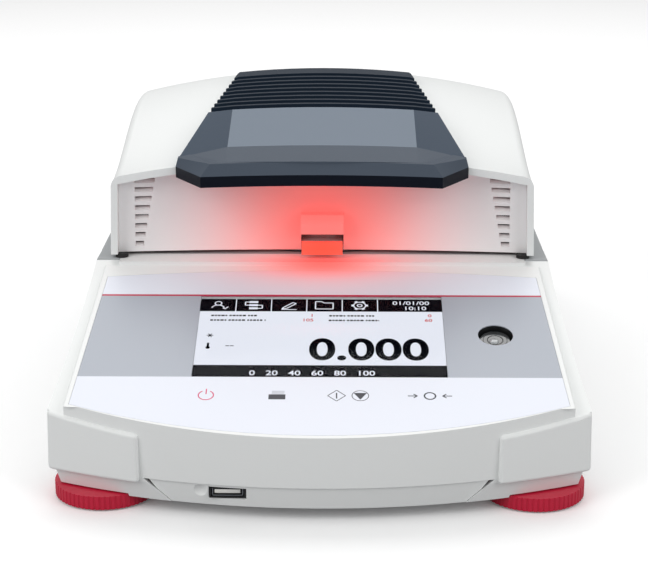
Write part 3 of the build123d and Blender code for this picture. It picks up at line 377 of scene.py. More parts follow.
@dataclass(frozen=True)
class GlowingLens(Finish):
    """Clear red lens with light-emitting diodes behind its middle, so it is brightest there."""

    reach: float = 22.0

    def material(self) -> bpy.types.Material:
        """Builds the lens, its light falling off to both ends.

        Returns:
            The material.
        """
        material, tree, shader = self.shader()
        place = add_node(tree, "ShaderNodeTexCoord").outputs["Object"]
        across = add_node(tree, "ShaderNodeSeparateXYZ", in0=place).outputs[0]
        ratio = add_node(tree, "ShaderNodeMath", {"operation": "DIVIDE"}, in0=across,
                         in1=self.reach * MM).outputs[0]
        square = add_node(tree, "ShaderNodeMath", {"operation": "MULTIPLY"}, in0=ratio,
                          in1=ratio).outputs[0]
        fall = add_node(tree, "ShaderNodeMath", {"operation": "MULTIPLY"}, in0=square,
                        in1=-1.0).outputs[0]
        curve = add_node(tree, "ShaderNodeMath", {"operation": "EXPONENT"}, in0=fall).outputs[0]
        light = add_node(tree, "ShaderNodeMath", {"operation": "MULTIPLY"}, in0=curve,
                         in1=self.glow).outputs[0]
        tree.links.new(light, shader.inputs["Emission Strength"])
        shader.inputs["Base Color"].default_value = linear(self.colour)
        return material


# Red light of the status lens where it falls: a core, an edge and how far it spreads
LAMP_ON_SILL = RedLight((0.0, -46.0, 70.0), (38.0, 13.0, 14.0), near="FF7A72", far="FFD0D6", glow=0.2)
LAMP_ON_PANEL = RedLight((0.0, -36.0, 84.0), (50.0, 60.0, 44.0), near="FF8680", far="FFCCD0", glow=0.3,
                         power=1.2)
LAMP_ON_TONGUE = RedLight((0.0, -42.6, 74.0), (40.0, 4.0, 20.0), near="FF5A44", far="FF6A54", glow=0.3)
# Injection-moulded ABS with a fine spark-eroded grain: a soft matt off-white
SHELL = Finish("moulded ABS, off-white", "EDEFEE", "shell_plastic", roughness=0.42, grain=0.45,
               depth=0.006, tone=0.012)
# The same plastic, with a painted pool of the status lamp's red light in front of the notch
SILL = Finish("moulded ABS, lit red at the sill", "EDEFEE", "shell_plastic", roughness=0.42,
              grain=0.45, depth=0.006, tone=0.012, light=LAMP_ON_SILL)
# The same plastic painted brighter, as painted light from the front lamps under the cover, with the status
# lamp's red light painted round the notch and white at its ends
PANEL = Finish("moulded ABS, lit red round the notch", "F3F5F5", "shell_plastic", roughness=0.45,
               grain=0.45, depth=0.006, tone=0.012, light=LAMP_ON_PANEL)
# The same plastic in grey, a little rougher
DECK = Finish("moulded ABS, grey", "A5A8AA", "deck_plastic", roughness=0.5, grain=0.5, depth=0.008,
              tone=0.03)
# Glass-filled nylon that stands the heat: dark blue-grey with a broad sheen, its facet, ribs, chamfer and
# lip toned with painted light and shade
COVER = CoverFinish("moulded nylon, dark blue-grey", "303F50", "cover_plastic", roughness=0.42,
                    grain=0.5, depth=0.012, tone=0.08, specular=0.15)
# Polyester film, printed from behind: cool white with a flat satin face, and the status lamp's red light
# painted on it by the notch
FILM = PrintedFilm("printed polyester film", "E4E8F2", "overlay_film", roughness=0.34, grain=0.7,
                   depth=0.003, tone=0.01, light=LAMP_ON_SILL)
# Etched glass over the screen, with a faint haze
SCREEN_GLASS = Finish("etched glass", "FFFFFF", "clear_glass", roughness=0.08, depth=0.0, tone=0.0,
                      transmission=1.0, ior=1.08, relief=Relief.SMOOTH)
# Clear borosilicate under the lamp: sharp bright edges
HEATER_GLASS = Finish("borosilicate glass", "F6FAFA", "clear_glass", roughness=0.02, depth=0.0,
                      tone=0.0, transmission=1.0, ior=1.47, relief=Relief.SMOOTH)
# Black nylon of sockets and keys: soft highlights that keep the edges readable
BLACK = Finish("moulded nylon, black", "17181A", "black_plastic", roughness=0.45, grain=0.5,
               depth=0.01, tone=0.1)
# Rubber of feet and bumpers: nearly no highlight
RUBBER = Finish("moulded rubber, black", "1B1B1C", "rubber", roughness=0.8, grain=0.6, depth=0.02,
                tone=0.1)
# Self-coloured acetal: a deep red with a clear sheen on each knurl
RED = Finish("moulded acetal, red", "CE1F3F", "red_plastic", roughness=0.35, grain=0.5, depth=0.008,
             tone=0.05)
# Turned stainless steel: fine rings that draw the reflections out
STAINLESS = Finish("turned stainless steel", "C9CBCD", "stainless", roughness=0.26, metallic=1.0,
                   grain=0.4, depth=0.004, tone=0.05, relief=Relief.TURNED)
# Spun aluminium of pan and reflector: brighter, with coarser rings
SPUN = Finish("spun aluminium", "D9DADB", "aluminium", roughness=0.24, metallic=1.0, grain=0.5,
              depth=0.006, tone=0.05, relief=Relief.TURNED)
# Milled aluminium: straight marks and a broad dull reflection
BRUSHED = Finish("milled aluminium", "C4C6C8", "aluminium", roughness=0.34, metallic=1.0, grain=0.3,
                 depth=0.006, tone=0.06, relief=Relief.BRUSHED)
# Zinc plate: a cloudy blue-grey metal
ZINC = Finish("zinc-plated steel", "B4B9BF", "steel", roughness=0.32, metallic=1.0, grain=1.2,
              depth=0.003, tone=0.08, relief=Relief.CAST)
# Solder mask: green with uneven patches over the copper
BOARD = Finish("solder-masked board, green", "1C5A3A", "board", roughness=0.38, grain=2.5,
               depth=0.01, tone=0.18)
# The handler's grip, which takes the red light of the lens above it
TONGUE = Finish("stainless steel, lit red", "C9CBCD", "stainless", roughness=0.3, grain=0.4,
                depth=0.004, tone=0.05, light=LAMP_ON_TONGUE)
# Steatite of the lamp holders: chalky and warm white
CERAMIC = Finish("fired steatite", "E9E4D8", "ceramic", roughness=0.6, grain=0.8, depth=0.02,
                 tone=0.05)
# Red acrylic over the status light: dark body, bright core
LENS = GlowingLens("red acrylic, lit", "7A0C12", "red_lens", roughness=0.25, glow=4.0,
                   glow_colour="FF2A24")
# Machined brass of the nuts: warm yellow with turning marks
BRASS = Finish("machined brass", "C8A24C", "brass", roughness=0.28, metallic=1.0, grain=0.3,
               depth=0.004, tone=0.06, relief=Relief.TURNED)
# Quartz tube: clear, with hard highlights
LAMP_GLASS = Finish("quartz tube", "FBFBFA", "clear_glass", roughness=0.03, depth=0.0, tone=0.0,
                    transmission=1.0, ior=1.46, relief=Relief.SMOOTH)
# Spirit in a clear cell over a smoked base: dark grey with a glassy top
SPIRIT = Finish("spirit in a smoked cell", "3A3C3E", "clear_glass", roughness=0.15, grain=3.0,
                depth=0.0, tone=0.1, coat=1.0)
# Rings under the level's glass: flat black
INK_RING = Finish("engraved ring, black", "101113", "clear_glass", roughness=0.4, grain=1.0,
                  depth=0.0, tone=0.05)
# The bubble: a pale lens with one hard highlight
BUBBLE = Finish("air bubble under glass", "A4A8AA", "clear_glass", roughness=0.08, grain=2.0,
                depth=0.0, tone=0.08, coat=1.0)
# Pale nylon of the socket's tongue: matt, to stand out from the black
NYLON_PALE = Finish("moulded nylon, white", "E4E4E0", "shell_plastic", roughness=0.5, grain=0.5,
                    depth=0.005, tone=0.04)
# The screen's pixels: flat, lit from within, no highlight of their own
SCREEN_PALE = Finish("screen, lit pale", "0A0C10", "display", roughness=0.9, depth=0.0, tone=0.0,
                     specular=0.0, glow=0.9, glow_colour="F0F4FF")
SCREEN_DARK = Finish("screen, dark", "050608", "display", roughness=0.9, depth=0.0, tone=0.0,
                     specular=0.0, glow=0.9, glow_colour="020206")
SCREEN_RED = Finish("screen, lit red", "0A0606", "display", roughness=0.9, depth=0.0, tone=0.0,
                    specular=0.0, glow=0.9, glow_colour="D0342F")
# Screen-printed inks: flat colour with a slight tooth
INK_DARK = Finish("screen-printed ink, dark blue", "1D2430", "overlay_film", roughness=0.4,
                  grain=0.5, depth=0.0, tone=0.05)
INK_RED = Finish("screen-printed ink, red", "D23465", "overlay_film", roughness=0.4, grain=0.5,
                 depth=0.0, tone=0.05)
INK_PALE = Finish("screen-printed ink, pale grey", "C9CDD6", "overlay_film", roughness=0.4,
                  grain=0.5, depth=0.0, tone=0.05)

NODE_FINISHES: dict[str, Finish] = {
    "console_shell": SILL, "base_tray": SHELL, "lid_shell": SHELL, "lid_front_panel": PANEL,
    "heater_collar": STAINLESS, "housing_screws": ZINC, "lid_screws": ZINC, "status_board": BOARD,
    "chamber_deck": DECK, "lid_cover": COVER, "control_overlay": FILM,
    "display_glass": SCREEN_GLASS, "display_module": BLACK, "status_lens": LENS,
    "usb_front_socket": BLACK, "rear_panel": DECK, "mains_inlet": BLACK, "mains_pins": BRASS,
    "serial_socket": ZINC, "usb_device_socket": ZINC, "fuse_holder": BLACK,
    "floor_shield": STAINLESS, "draft_shield": STAINLESS, "pan_support": STAINLESS,
    "sample_pan": SPUN, "pan_handler": STAINLESS, "handler_grip": TONGUE,
    "weighing_cell": BRUSHED, "cell_block": BRUSHED,
    "power_supply": BOARD, "main_board": BOARD, "key_board": BOARD, "level_cup": BLACK,
    "level_vial": SPIRIT, "rear_feet": RUBBER, "hinge_brackets": ZINC, "hinge_arms": ZINC,
    "hinge_pins": STAINLESS, "foot_nut_left": BRASS, "foot_nut_right": BRASS, "foot_pad_left": RUBBER,
    "foot_pad_right": RUBBER, "foot_wheel_left": RED, "foot_wheel_right": RED, "lid_bumpers": RUBBER,
    "lid_liner": STAINLESS, "heater_glass": HEATER_GLASS, "glass_ring": STAINLESS,
    "heater_reflector": SPUN, "ring_lamp": LAMP_GLASS, "lamp_holders": CERAMIC,
    "chamber_probe": STAINLESS, "key_power": BLACK, "key_print": BLACK, "key_start": BLACK,
    "key_tare": BLACK,
}


class Workshop:
    """Modelling moves that every sub-assembly uses, made with the editor's own tools."""

    made: dict[str, bpy.types.Material] = {}

    @staticmethod
    def clear() -> None:
        """Leaves edit mode and selects nothing."""
        if bpy.context.object and bpy.context.object.mode != "OBJECT":
            bpy.ops.object.mode_set(mode="OBJECT")
        for item in bpy.context.view_layer.objects:
            item.select_set(False)

    @classmethod
    def take(cls, piece: bpy.types.Object) -> bpy.types.Object:
        """Makes one piece the only selected and active one.

        Args:
            piece: The piece.

        Returns:
            The same piece.
        """
        cls.clear()
        bpy.context.view_layer.objects.active = piece
        piece.select_set(True)
        return piece

    @classmethod
    def settle(cls, piece: bpy.types.Object) -> bpy.types.Object:
        """Puts the piece's place, turn and size into its mesh.

        Args:
            piece: The piece.

        Returns:
            The same piece, its object at the origin.
        """
        cls.take(piece)
        bpy.ops.object.transform_apply(location=True, rotation=True, scale=True)
        return piece

    @classmethod
    def dress(cls, piece: bpy.types.Object, finish: Finish) -> bpy.types.Object:
        """Gives the piece its finish.

        Args:
            piece: The piece.
            finish: The finish.

        Returns:
            The same piece.
        """
        if finish.name not in cls.made:
            cls.made[finish.name] = finish.material()
        piece.data.materials.clear()
        piece.data.materials.append(cls.made[finish.name])
        return piece

    @classmethod
    def block(cls, name: str, size: Sequence[float], at: Sequence[float],
              edge: float = 0.0) -> bpy.types.Object:
        """Makes a block with broken edges, all in millimetres.

        Args:
            name: The piece's name.
            size: Its size along X, Y and Z.
            at: Its centre.
            edge: Width of the rounded edge, 0 for none.

        Returns:
            The new piece.
        """
        cls.clear()
        bpy.ops.mesh.primitive_cube_add(size=1, location=[c * MM for c in at])
        piece = bpy.context.object
        piece.name = name
        piece.scale = [s * MM for s in size]
        cls.settle(piece)
        if edge:
            cls.soften(piece, edge)
        return piece

    @classmethod
    def modify(cls, piece: bpy.types.Object, kind: str, **settings: Any) -> bpy.types.Object:
        """Adds one modifier and applies it.

        Args:
            piece: The piece.
            kind: The modifier's type.
            **settings: The modifier's settings.

        Returns:
            The same piece.
        """
        cls.take(piece)
        modifier = piece.modifiers.new(kind.lower(), kind)
        for key, value in settings.items():
            setattr(modifier, key, value)
        bpy.ops.object.modifier_apply(modifier=modifier.name)
        return piece

    @classmethod
    def soften(cls, piece: bpy.types.Object, width: float) -> bpy.types.Object:
        """Rounds the piece's sharp edges by a width in millimetres."""
        cls.modify(piece, "BEVEL", width=width * MM, segments=3, limit_method="ANGLE",
                   angle_limit=math.radians(40))
        return cls.smooth(piece)

    @classmethod
    def smooth(cls, piece: bpy.types.Object, angle: float = 35.0) -> bpy.types.Object:
        """Shades the piece smoothly up to an angle between faces."""
        cls.take(piece)
        bpy.ops.object.shade_smooth_by_angle(angle=math.radians(angle))
        return piece

    @classmethod
    def join(cls, name: str, pieces: Sequence[bpy.types.Object]) -> bpy.types.Object:
        """Joins pieces into one.

        Args:
            name: The joined piece's name.
            pieces: The pieces.

        Returns:
            The joined piece.
        """
        cls.take(pieces[0])
        for piece in pieces:
            piece.select_set(True)
        if len(pieces) > 1:
            bpy.ops.object.join()
        joined = bpy.context.object
        joined.name = name
        return joined

    @classmethod
    def bar(cls, start: Point, end: Point, width: float) -> bpy.types.Object:
        """Makes a flat bar between two points, in millimetres, lying at Z 0.

        Args:
            start: One end of its middle line.
            end: The other end.
            width: Its width.

        Returns:
            The new piece, a flat sheet.
        """
        cls.clear()
        run = Vector((end[0] - start[0], end[1] - start[1]))
        middle = ((start[0] + end[0]) / 2 * MM, (start[1] + end[1]) / 2 * MM, 0.0)
        bpy.ops.mesh.primitive_plane_add(size=1, location=middle,
                                         rotation=(0, 0, math.atan2(run.y, run.x)))
        piece = bpy.context.object
        piece.scale = (run.length * MM, width * MM, 1.0)
        return cls.settle(piece)

    @classmethod
    def ring(cls, centre: Point, radius: float, width: float, squash: float = 1.0,
             arc: tuple[float, float] = (0.0, 360.0)) -> bpy.types.Object:
        """Makes a flat ring or part of one, in millimetres, lying at Z 0.

        Args:
            centre: Its centre.
            radius: Its outer radius.
            width: Width of its band; the radius makes a disc.
            squash: Its height over its width.
            arc: First and last angle in degrees, anticlockwise from +X.

        Returns:
            The new piece, a flat sheet.
        """
        cls.clear()
        bpy.ops.mesh.primitive_circle_add(vertices=48, radius=radius * MM, fill_type="NOTHING")
        piece = bpy.context.object
        bpy.ops.object.mode_set(mode="EDIT")
        bpy.ops.mesh.select_all(action="SELECT")
        bpy.ops.mesh.extrude_region_move()
        inner = max((radius - width) / radius, 0.002)
        bpy.ops.transform.resize(value=(inner, inner, 1))
        bpy.ops.mesh.select_all(action="DESELECT")
        bpy.ops.object.mode_set(mode="OBJECT")
        first, last = arc
        if last - first < 360:
            for face in piece.data.polygons:
                angle = math.degrees(math.atan2(face.center.y, face.center.x)) % 360
                face.select = not (first <= angle <= last or first <= angle + 360 <= last
                                   or first <= angle - 360 <= last)
            bpy.ops.object.mode_set(mode="EDIT")
            bpy.ops.mesh.delete(type="FACE")
            bpy.ops.object.mode_set(mode="OBJECT")
        piece.scale = (1.0, squash, 1.0)
        piece.location = (centre[0] * MM, centre[1] * MM, 0.0)
        return cls.settle(piece)

    @classmethod
    def number(cls, body: str, height: float, at: Point, bold: float = 0.0,
               stretch: float = 1.0) -> bpy.types.Object:
        """Sets plain figures, in millimetres, lying at Z 0.

        Args:
            body: The figures.
            height: Their height.
            at: Lower left corner of the first.
            bold: How far each stroke is thickened.
            stretch: Width over the usual width.

        Returns:
            The new piece, a flat sheet.
        """
        cls.clear()
        bpy.ops.object.text_add()
        words = bpy.context.object
        words.data.body = body
        words.data.size = height / 0.73 * MM
        words.data.offset = bold * MM
        words.data.resolution_u = 6
        bpy.ops.object.convert(target="MESH")
        piece = bpy.context.object
        piece.location = (at[0] * MM, at[1] * MM, 0.0)
        piece.scale = (stretch, 1.0, 1.0)
        return cls.settle(piece)


@dataclass
class ConsolePlane:
    """The sloped plane of the console: where flat pieces are laid onto it."""

    screen_y: float = -123.0
    screen_z: float = 45.4
    slope: float = 16.0

    def lay(self, piece: bpy.types.Object, level: float) -> bpy.types.Object:
        """Turns a flat piece onto the slope, at a level above the plane in millimetres.

        Args:
            piece: The piece, drawn with X across and Y up the slope from the screen's lower edge.
            level: Height of its underside over the plane.

        Returns:
            The same piece in place.
        """
        turn = math.radians(self.slope)
        up = Vector((0.0, -math.sin(turn), math.cos(turn)))
        piece.rotation_euler = Euler((turn, 0, 0))
        piece.location = (Vector((0.0, self.screen_y, self.screen_z)) + up * level) * MM
        return Workshop.settle(piece)

    def print_on(self, name: str, marks: Sequence[bpy.types.Object], finish: Finish, level: float,
                 thickness: float = 0.03) -> bpy.types.Object:
        """Joins flat marks, gives them the thickness of ink and lays them on the slope.

        Args:
            name: The piece's name.
            marks: The flat marks.
            finish: Their finish.
            level: Height of their underside over the plane.
            thickness: Thickness of the layer.

        Returns:
            The finished piece, riding on the base.
        """
        piece = Workshop.join(name, marks)
        Workshop.take(piece)
        bpy.ops.object.mode_set(mode="EDIT")
        bpy.ops.mesh.select_all(action="SELECT")
        bpy.ops.mesh.remove_doubles(threshold=1e-6)
        bpy.ops.mesh.normals_make_consistent(inside=False)
        bpy.ops.object.mode_set(mode="OBJECT")
        if sum(face.normal.z for face in piece.data.polygons) < 0:
            bpy.ops.object.mode_set(mode="EDIT")
            bpy.ops.mesh.flip_normals()
            bpy.ops.object.mode_set(mode="OBJECT")
        Workshop.modify(piece, "SOLIDIFY", thickness=thickness * MM, offset=1.0)
        self.lay(piece, level)
        Workshop.dress(piece, finish)
        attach(piece, "root")
        LOG.info("printed %s", name)
        return piece


@dataclass
class Screen:
    """The lit screen: its panel, a picture of bars and plain figures, under the glass."""

    plane: ConsolePlane
    width: float = 98.64
    height: float = 55.8
    top_bar: float = 8.9
    bottom_bar: float = 9.65
    seat: float = -1.5
    cells: int = 5
    cell_pitch: float = 14.5
    reading: str = "0.000"

    def panel(self) -> None:
        """Builds the module with its lit face, in place of the plain one."""
        body = Workshop.block("display_body", (self.width, self.height, 5.4),
                              (0, 28.0, -2.7), 0.5)
        self.plane.lay(body, self.seat - 0.35)
        Workshop.dress(body, BLACK)
        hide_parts("display_module")
        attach(body, "root")
        face = Workshop.bar((-self.width / 2, 28.0), (self.width / 2, 28.0), self.height)
        self.plane.print_on("display_panel", [face], SCREEN_PALE, self.seat - 0.35, 0.25)

    def icons(self) -> list[bpy.types.Object]:
        """Draws the marks in the cells of the top bar.

        Returns:
            The flat marks.
        """
        bar, ring = Workshop.bar, Workshop.ring
        y = 51.4
        x = -42.2
        marks = [ring((x, y + 1.3), 1.6, 0.5), ring((x, y - 2.6), 2.9, 0.5, arc=(15, 165)),
                 bar((x + 2.0, y - 2.0), (x + 2.8, y - 2.8), 0.5),
                 bar((x + 2.8, y - 2.8), (x + 4.2, y - 1.2), 0.5)]
        x += self.cell_pitch
        for row in (-2.3, 0.0, 2.3):
            marks += [bar((x - 1.8, y + row), (x + 1.8, y + row), 1.4)]
        marks += [bar((x - 3.4, y + 2.3), (x - 1.8, y + 2.3), 0.5),
                  bar((x - 3.4, y + 2.3), (x - 3.4, y), 0.5),
                  bar((x - 3.4, y), (x - 1.8, y), 0.5), bar((x + 1.8, y), (x + 3.6, y), 0.5),
                  bar((x + 3.6, y), (x + 3.6, y - 2.3), 0.5),
                  bar((x + 3.6, y - 2.3), (x + 1.8, y - 2.3), 0.5)]
        x += self.cell_pitch
        marks += [bar((x - 2.2, y - 1.6), (x + 1.6, y + 2.0), 0.5),
                  bar((x - 0.8, y - 2.2), (x + 2.9, y + 1.2), 0.5),
                  bar((x + 1.6, y + 2.0), (x + 2.9, y + 1.2), 0.5),
                  bar((x - 2.2, y - 1.6), (x - 2.8, y - 2.6), 0.5),
                  bar((x - 2.8, y - 2.6), (x - 0.8, y - 2.2), 0.5),
                  bar((x - 3.0, y - 3.1), (x + 3.2, y - 3.1), 0.4)]
        x += self.cell_pitch
        marks += [bar((x - 3.6, y - 2.6), (x + 3.6, y - 2.6), 0.5),
                  bar((x - 3.6, y - 2.6), (x - 3.6, y + 2.8), 0.5),
                  bar((x + 3.6, y - 2.6), (x + 3.6, y + 1.8), 0.5),
                  bar((x - 3.6, y + 2.8), (x - 1.0, y + 2.8), 0.5),
                  bar((x - 1.0, y + 2.8), (x - 0.2, y + 1.8), 0.5),
                  bar((x - 0.2, y + 1.8), (x + 3.6, y + 1.8), 0.5)]
        x += self.cell_pitch
        marks += [ring((x, y), 2.7, 0.5), ring((x, y), 1.2, 0.5)]
        for step in range(6):
            turn = math.radians(60 * step)
            marks.append(bar((x + 2.6 * math.cos(turn), y + 2.6 * math.sin(turn)),
                             (x + 3.4 * math.cos(turn), y + 3.4 * math.sin(turn)), 1.3))
        return marks

    def picture(self) -> None:
        """Builds the bars, the figures and the marks of the picture."""
        bar, number = Workshop.bar, Workshop.number
        half = self.width / 2
        top = 55.9
        low_bar = bar((-half, self.bottom_bar / 2), (half, self.bottom_bar / 2), self.bottom_bar)
        top_middle = top - self.top_bar / 2
        left = -half
        dark = [low_bar]
        for cell in range(self.cells):
            right = -half + self.cell_pitch * (cell + 1) - 0.25
            dark.append(bar((left, top_middle), (right, top_middle), self.top_bar))
            left = right + 0.4
        dark.append(bar((left, top_middle), (half, top_middle), self.top_bar))
        self.plane.print_on("display_bars", dark, SCREEN_DARK, self.seat - 0.1, 0.03)
        figures = [number(self.reading, 14.8, (-4.6, 13.6), 0.45, 1.06)]
        star = (-44.2, 29.8)
        for turn in (0, 60, 120):
            c, s = math.cos(math.radians(turn)), math.sin(math.radians(turn))
            figures.append(bar((star[0] - 1.3 * c, star[1] - 1.3 * s),
                               (star[0] + 1.3 * c, star[1] + 1.3 * s), 0.4))
        figures += [Workshop.ring((-44.6, 21.4), 0.9, 0.9), bar((-44.6, 21.6), (-44.6, 24.6), 0.9),
                    bar((-37.6, 22.6), (-36.2, 22.6), 0.45), bar((-35.8, 22.6), (-34.4, 22.6), 0.45)]
        for start, end in ((-44.6, -26.0), (3.4, 21.6)):
            figures += [self.dashes(start, end, 43.9)]
        for start, end in ((-44.8, -22.4), (3.2, 23.6)):
            figures += [self.dashes(start, end, 40.6)]
        self.plane.print_on("display_figures", figures, SCREEN_DARK, self.seat - 0.1, 0.03)
        red = [number("105", 2.0, (-7.6, 39.9), 0.03, 1.15), number("60", 2.0, (42.0, 39.9), 0.03, 1.15),
               number("1", 2.0, (-4.4, 43.2), 0.03, 1.15), number("0", 2.0, (43.4, 43.2), 0.03, 1.15)]
        self.plane.print_on("display_values", red, SCREEN_RED, self.seat - 0.1, 0.03)
        pale = self.icons()
        pale += [number("0   20   40   60   80   100", 3.2, (-27.5, 3.0), 0.06, 1.1),
                 number("01/01/00", 2.6, (29.2, 52.0), 0.04, 1.2),
                 number("10:10", 2.6, (33.6, 48.2), 0.04, 1.2)]
        self.plane.print_on("display_marks", pale, SCREEN_PALE, self.seat - 0.06, 0.03)

    def dashes(self, start: float, end: float, row: float) -> bpy.types.Object:
        """Lays a row of short dashes, as a line of fine print looks.

        Args:
            start: Where the row begins.
            end: Where it ends.
            row: Its height up the slope.

        Returns:
            The joined flat dashes.
        """
        pieces = []
        place = start
        step = 0
        lengths = (1.1, 0.8, 1.0, 1.3, 0.7, 0.9)
        while place < end:
            run = lengths[step % len(lengths)]
            pieces.append(Workshop.bar((place, row), (min(place + run, end), row), 1.0))
            place += run + (0.9 if step % 5 == 4 else 0.4)
            step += 1
        return Workshop.join("row", pieces)

    def build(self) -> None:
        """Builds the whole screen."""
        self.panel()
        self.picture()


@dataclass
class KeyMarks:
    """The marks printed on the film over its four keys."""

    plane: ConsolePlane
    row: float = -11.8
    level: float = 0.005

    def build(self) -> None:
        """Prints every mark."""
        bar, ring = Workshop.bar, Workshop.ring
        y = self.row
        power = [ring((-43.0, y), 3.1, 0.45, arc=(-238, 58)), bar((-43.0, y + 0.6), (-43.0, y + 4.0), 0.45)]
        self.plane.print_on("mark_power", power, INK_RED, self.level, 0.02)
        x = -16.0
        printer = [bar((x - 3.2, y - 0.9), (x + 3.2, y - 0.9), 3.1)]
        self.plane.print_on("mark_printer", printer, INK_DARK, self.level, 0.02)
        paper = [bar((x - 2.0, y + 1.9), (x + 2.8, y + 1.9), 2.1)]
        self.plane.print_on("mark_paper", paper, INK_PALE, self.level, 0.02)
        x = 6.6
        start = [bar((x - 3.4, y), (x, y + 3.4), 0.35), bar((x, y + 3.4), (x + 3.4, y), 0.35),
                 bar((x + 3.4, y), (x, y - 3.4), 0.35), bar((x, y - 3.4), (x - 3.4, y), 0.35),
                 bar((x, y - 1.8), (x, y + 1.8), 0.5)]
        x = 15.6
        start += [ring((x, y), 3.3, 0.3)]
        for step in range(8):
            half, height = 2.4 - 0.3 * step, y + 1.5 - 0.5 * step
            start.append(bar((x - half, height), (x + half, height), 0.52))
        x = 42.0
        start += [bar((x - 8.4, y), (x - 4.8, y), 0.5), bar((x - 4.8, y), (x - 6.2, y + 1.2), 0.5),
                  bar((x - 4.8, y), (x - 6.2, y - 1.2), 0.5), bar((x + 4.8, y), (x + 8.4, y), 0.5),
                  bar((x + 4.8, y), (x + 6.2, y + 1.2), 0.5), bar((x + 4.8, y), (x + 6.2, y - 1.2), 0.5),
                  ring((x, y), 2.4, 0.6)]
        self.plane.print_on("mark_functions", start, INK_DARK, self.level, 0.02)


@dataclass
class LevelCell:
    """The bubble level's cell: engraved rings and the bubble on top of the vial."""

    plane: ConsolePlane
    centre: Point = (69.7, 28.6)
    top: float = -2.4
    bubble_at: Point = (69.2, 27.6)

    def build(self) -> None:
        """Builds the rings and the bubble."""
        rings = [Workshop.ring(self.centre, 3.3, 0.45), Workshop.ring(self.centre, 4.9, 0.25)]
        self.plane.print_on("level_rings", rings, INK_RING, self.top + 0.005, 0.03)
        Workshop.clear()
        bpy.ops.mesh.primitive_uv_sphere_add(segments=40, ring_count=20, radius=1.9 * MM)
        bubble = bpy.context.object
        bubble.name = "level_bubble"
        bubble.scale = (1.0, 1.0, 0.32)
        Workshop.settle(bubble)
        bpy.ops.object.mode_set(mode="EDIT")
        bpy.ops.mesh.select_all(action="SELECT")
        bpy.ops.mesh.bisect(plane_co=(0, 0, 0), plane_no=(0, 0, 1), clear_inner=True, use_fill=True)
        bpy.ops.object.mode_set(mode="OBJECT")
        bubble.location = (self.bubble_at[0] * MM, self.bubble_at[1] * MM, 0.0)
        Workshop.settle(bubble)
        Workshop.smooth(bubble, 50.0)
        self.plane.lay(bubble, self.top + 0.02)
        Workshop.dress(bubble, BUBBLE)
        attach(bubble, "root")
        LOG.info("level cell")


@dataclass
class FrontSocket:
    """The front socket's bright frame and its pale contact tongue."""

    node: str = "usb_front_socket"
    frame_size: Point = (11.6, 3.1)
    metal: float = 0.35

    def build(self) -> None:
        """Builds the frame and the tongue in the socket's mouth."""
        low, high = [[c / MM for c in corner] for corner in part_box(self.node)]
        x, z = (low[0] + high[0]) / 2, (low[2] + high[2]) / 2
        wide, tall = self.frame_size
        walls = []
        for side in (-1, 1):
            walls.append(Workshop.block("wall", (self.metal, 5.0, tall),
                                        (x + side * (wide - self.metal) / 2, low[1] + 3.1, z), 0.1))
            walls.append(Workshop.block("wall", (wide, 5.0, self.metal),
                                        (x, low[1] + 3.1, z + side * (tall - self.metal) / 2), 0.1))
        metal = Workshop.join("socket_frame", walls)
        Workshop.dress(metal, ZINC)
        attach(metal, "root")
        tongue = Workshop.block("socket_tongue", (9.6, 0.5, 1.5), (x, low[1] + 0.1, z + 0.6), 0.15)
        Workshop.dress(tongue, NYLON_PALE)
        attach(tongue, "root")
        LOG.info("front socket")


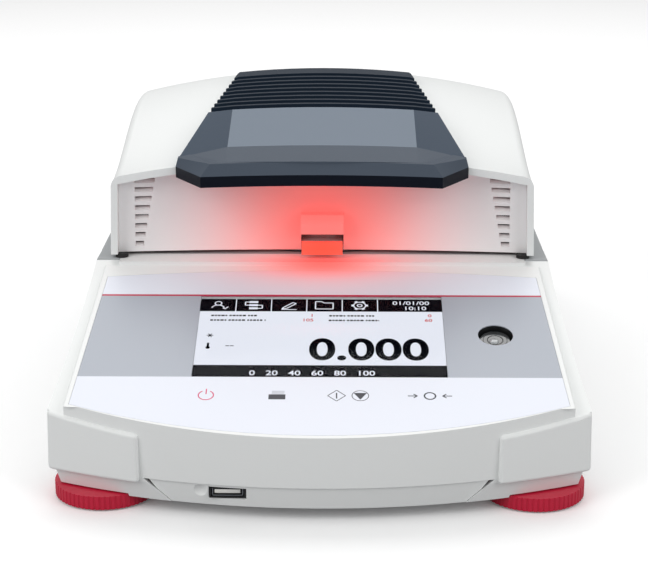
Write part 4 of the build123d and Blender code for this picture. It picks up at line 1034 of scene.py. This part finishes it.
@dataclass
class Studio:
    """Pale floor, soft lamps and the camera."""

    focal: float = 95.8
    camera_at: tuple[float, float, float] = (8.5, -746.0, 276.4)
    pitch: float = 17.5
    yaw: float = 0.6245
    floor_lift: float = 0.06

    def camera(self) -> None:
        """Sets the camera where the photograph was taken from."""
        data = bpy.data.cameras.new("camera")
        data.lens = self.focal
        data.sensor_width = 36.0
        data.sensor_fit = "HORIZONTAL"
        data.clip_start = 0.05
        data.clip_end = 50.0
        holder = bpy.data.objects.new("camera", data)
        bpy.context.scene.collection.objects.link(holder)
        holder.location = [c * MM for c in self.camera_at]
        holder.rotation_euler = Euler((math.radians(90 - self.pitch), 0, math.radians(self.yaw)))
        bpy.context.scene.camera = holder

    def floor(self) -> None:
        """Lays the pale floor, which shows white to the camera and keeps the shadow."""
        Workshop.clear()
        bpy.ops.mesh.primitive_plane_add(size=FLOOR_SIZE, location=(0, 0, 0))
        floor = bpy.context.object
        floor.name = "floor"
        material = bpy.data.materials.new("paper, white")
        material.use_nodes = True
        tree = material.node_tree
        tree.nodes.clear()
        out = tree.nodes.new("ShaderNodeOutputMaterial")
        matt = add_node(tree, "ShaderNodeBsdfDiffuse", Color=linear("A8A8AA"))
        pale = add_node(tree, "ShaderNodeBsdfDiffuse", Color=linear("FFFFFF"))
        lift = add_node(tree, "ShaderNodeEmission", Color=linear("FFFFFF"), Strength=self.floor_lift)
        seen = add_node(tree, "ShaderNodeLightPath").outputs["Is Camera Ray"]
        both = add_node(tree, "ShaderNodeAddShader", in0=pale.outputs[0], in1=lift.outputs[0])
        mix = add_node(tree, "ShaderNodeMixShader", in0=seen, in1=matt.outputs[0], in2=both.outputs[0])
        tree.links.new(mix.outputs[0], out.inputs["Surface"])
        floor.data.materials.append(material)

    def lamp(self, name: str, at: Sequence[float], size: tuple[float, float], power: float,
             tint: str = "FFFFFF") -> None:
        """Hangs one soft lamp, facing the middle of the object.

        Args:
            name: Its name.
            at: Its place in metres.
            size: Its width and height in metres.
            power: Its power in watts.
            tint: Its colour.
        """
        data = bpy.data.lights.new(name, "AREA")
        data.shape = "RECTANGLE"
        data.size, data.size_y = size
        data.energy = power
        data.color = linear(tint)[:3]
        holder = bpy.data.objects.new(name, data)
        bpy.context.scene.collection.objects.link(holder)
        holder.location = at
        aim = Vector((0, 0, AIM_HEIGHT)) - Vector(at)
        holder.rotation_euler = aim.to_track_quat("-Z", "Y").to_euler()

    def world(self) -> None:
        """Lights the room softly; camera and glass rays see plain white."""
        world = bpy.data.worlds.new("room")
        bpy.context.scene.world = world
        world.use_nodes = True
        tree = world.node_tree
        tree.nodes.clear()
        out = tree.nodes.new("ShaderNodeOutputWorld")
        soft = add_node(tree, "ShaderNodeBackground", Color=linear("FFFFFF"), Strength=ROOM_LIGHT)
        white = add_node(tree, "ShaderNodeBackground", Color=linear("FFFFFF"), Strength=WHITE_ROOM)
        path = add_node(tree, "ShaderNodeLightPath")
        seen = add_node(tree, "ShaderNodeMath", {"operation": "MAXIMUM"},
                        in0=path.outputs["Is Camera Ray"],
                        in1=path.outputs["Is Transmission Ray"]).outputs[0]
        mix = add_node(tree, "ShaderNodeMixShader", in0=seen, in1=soft.outputs[0], in2=white.outputs[0])
        tree.links.new(mix.outputs[0], out.inputs["Surface"])

    def build(self) -> None:
        """Sets up the whole studio."""
        bpy.context.scene.view_settings.view_transform = "Standard"
        self.camera()
        self.floor()
        self.world()
        self.lamp("lamp_top", (0.0, 0.75, 1.35), (1.8, 1.1), 12.5)
        self.lamp("lamp_left", (-1.2, -0.9, 0.9), (1.0, 1.0), 10.5)
        self.lamp("lamp_right", (1.2, -0.9, 0.9), (1.0, 1.0), 8.5)


def dress_nodes() -> None:
    """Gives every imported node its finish."""
    for name, finish in NODE_FINISHES.items():
        node = frame["nodes"].get(name)
        if node is None:
            LOG.warning("no node %s", name)
            continue
        Workshop.dress(node, finish)


def main() -> None:
    """Builds the finished analyzer and its studio."""
    logging.basicConfig(level=logging.INFO, format="%(message)s")
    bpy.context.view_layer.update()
    Studio().build()
    dress_nodes()
    plane = ConsolePlane()
    Screen(plane).build()
    KeyMarks(plane).build()
    LevelCell(plane).build()
    FrontSocket().build()


if __name__ == "__main__":
    main()
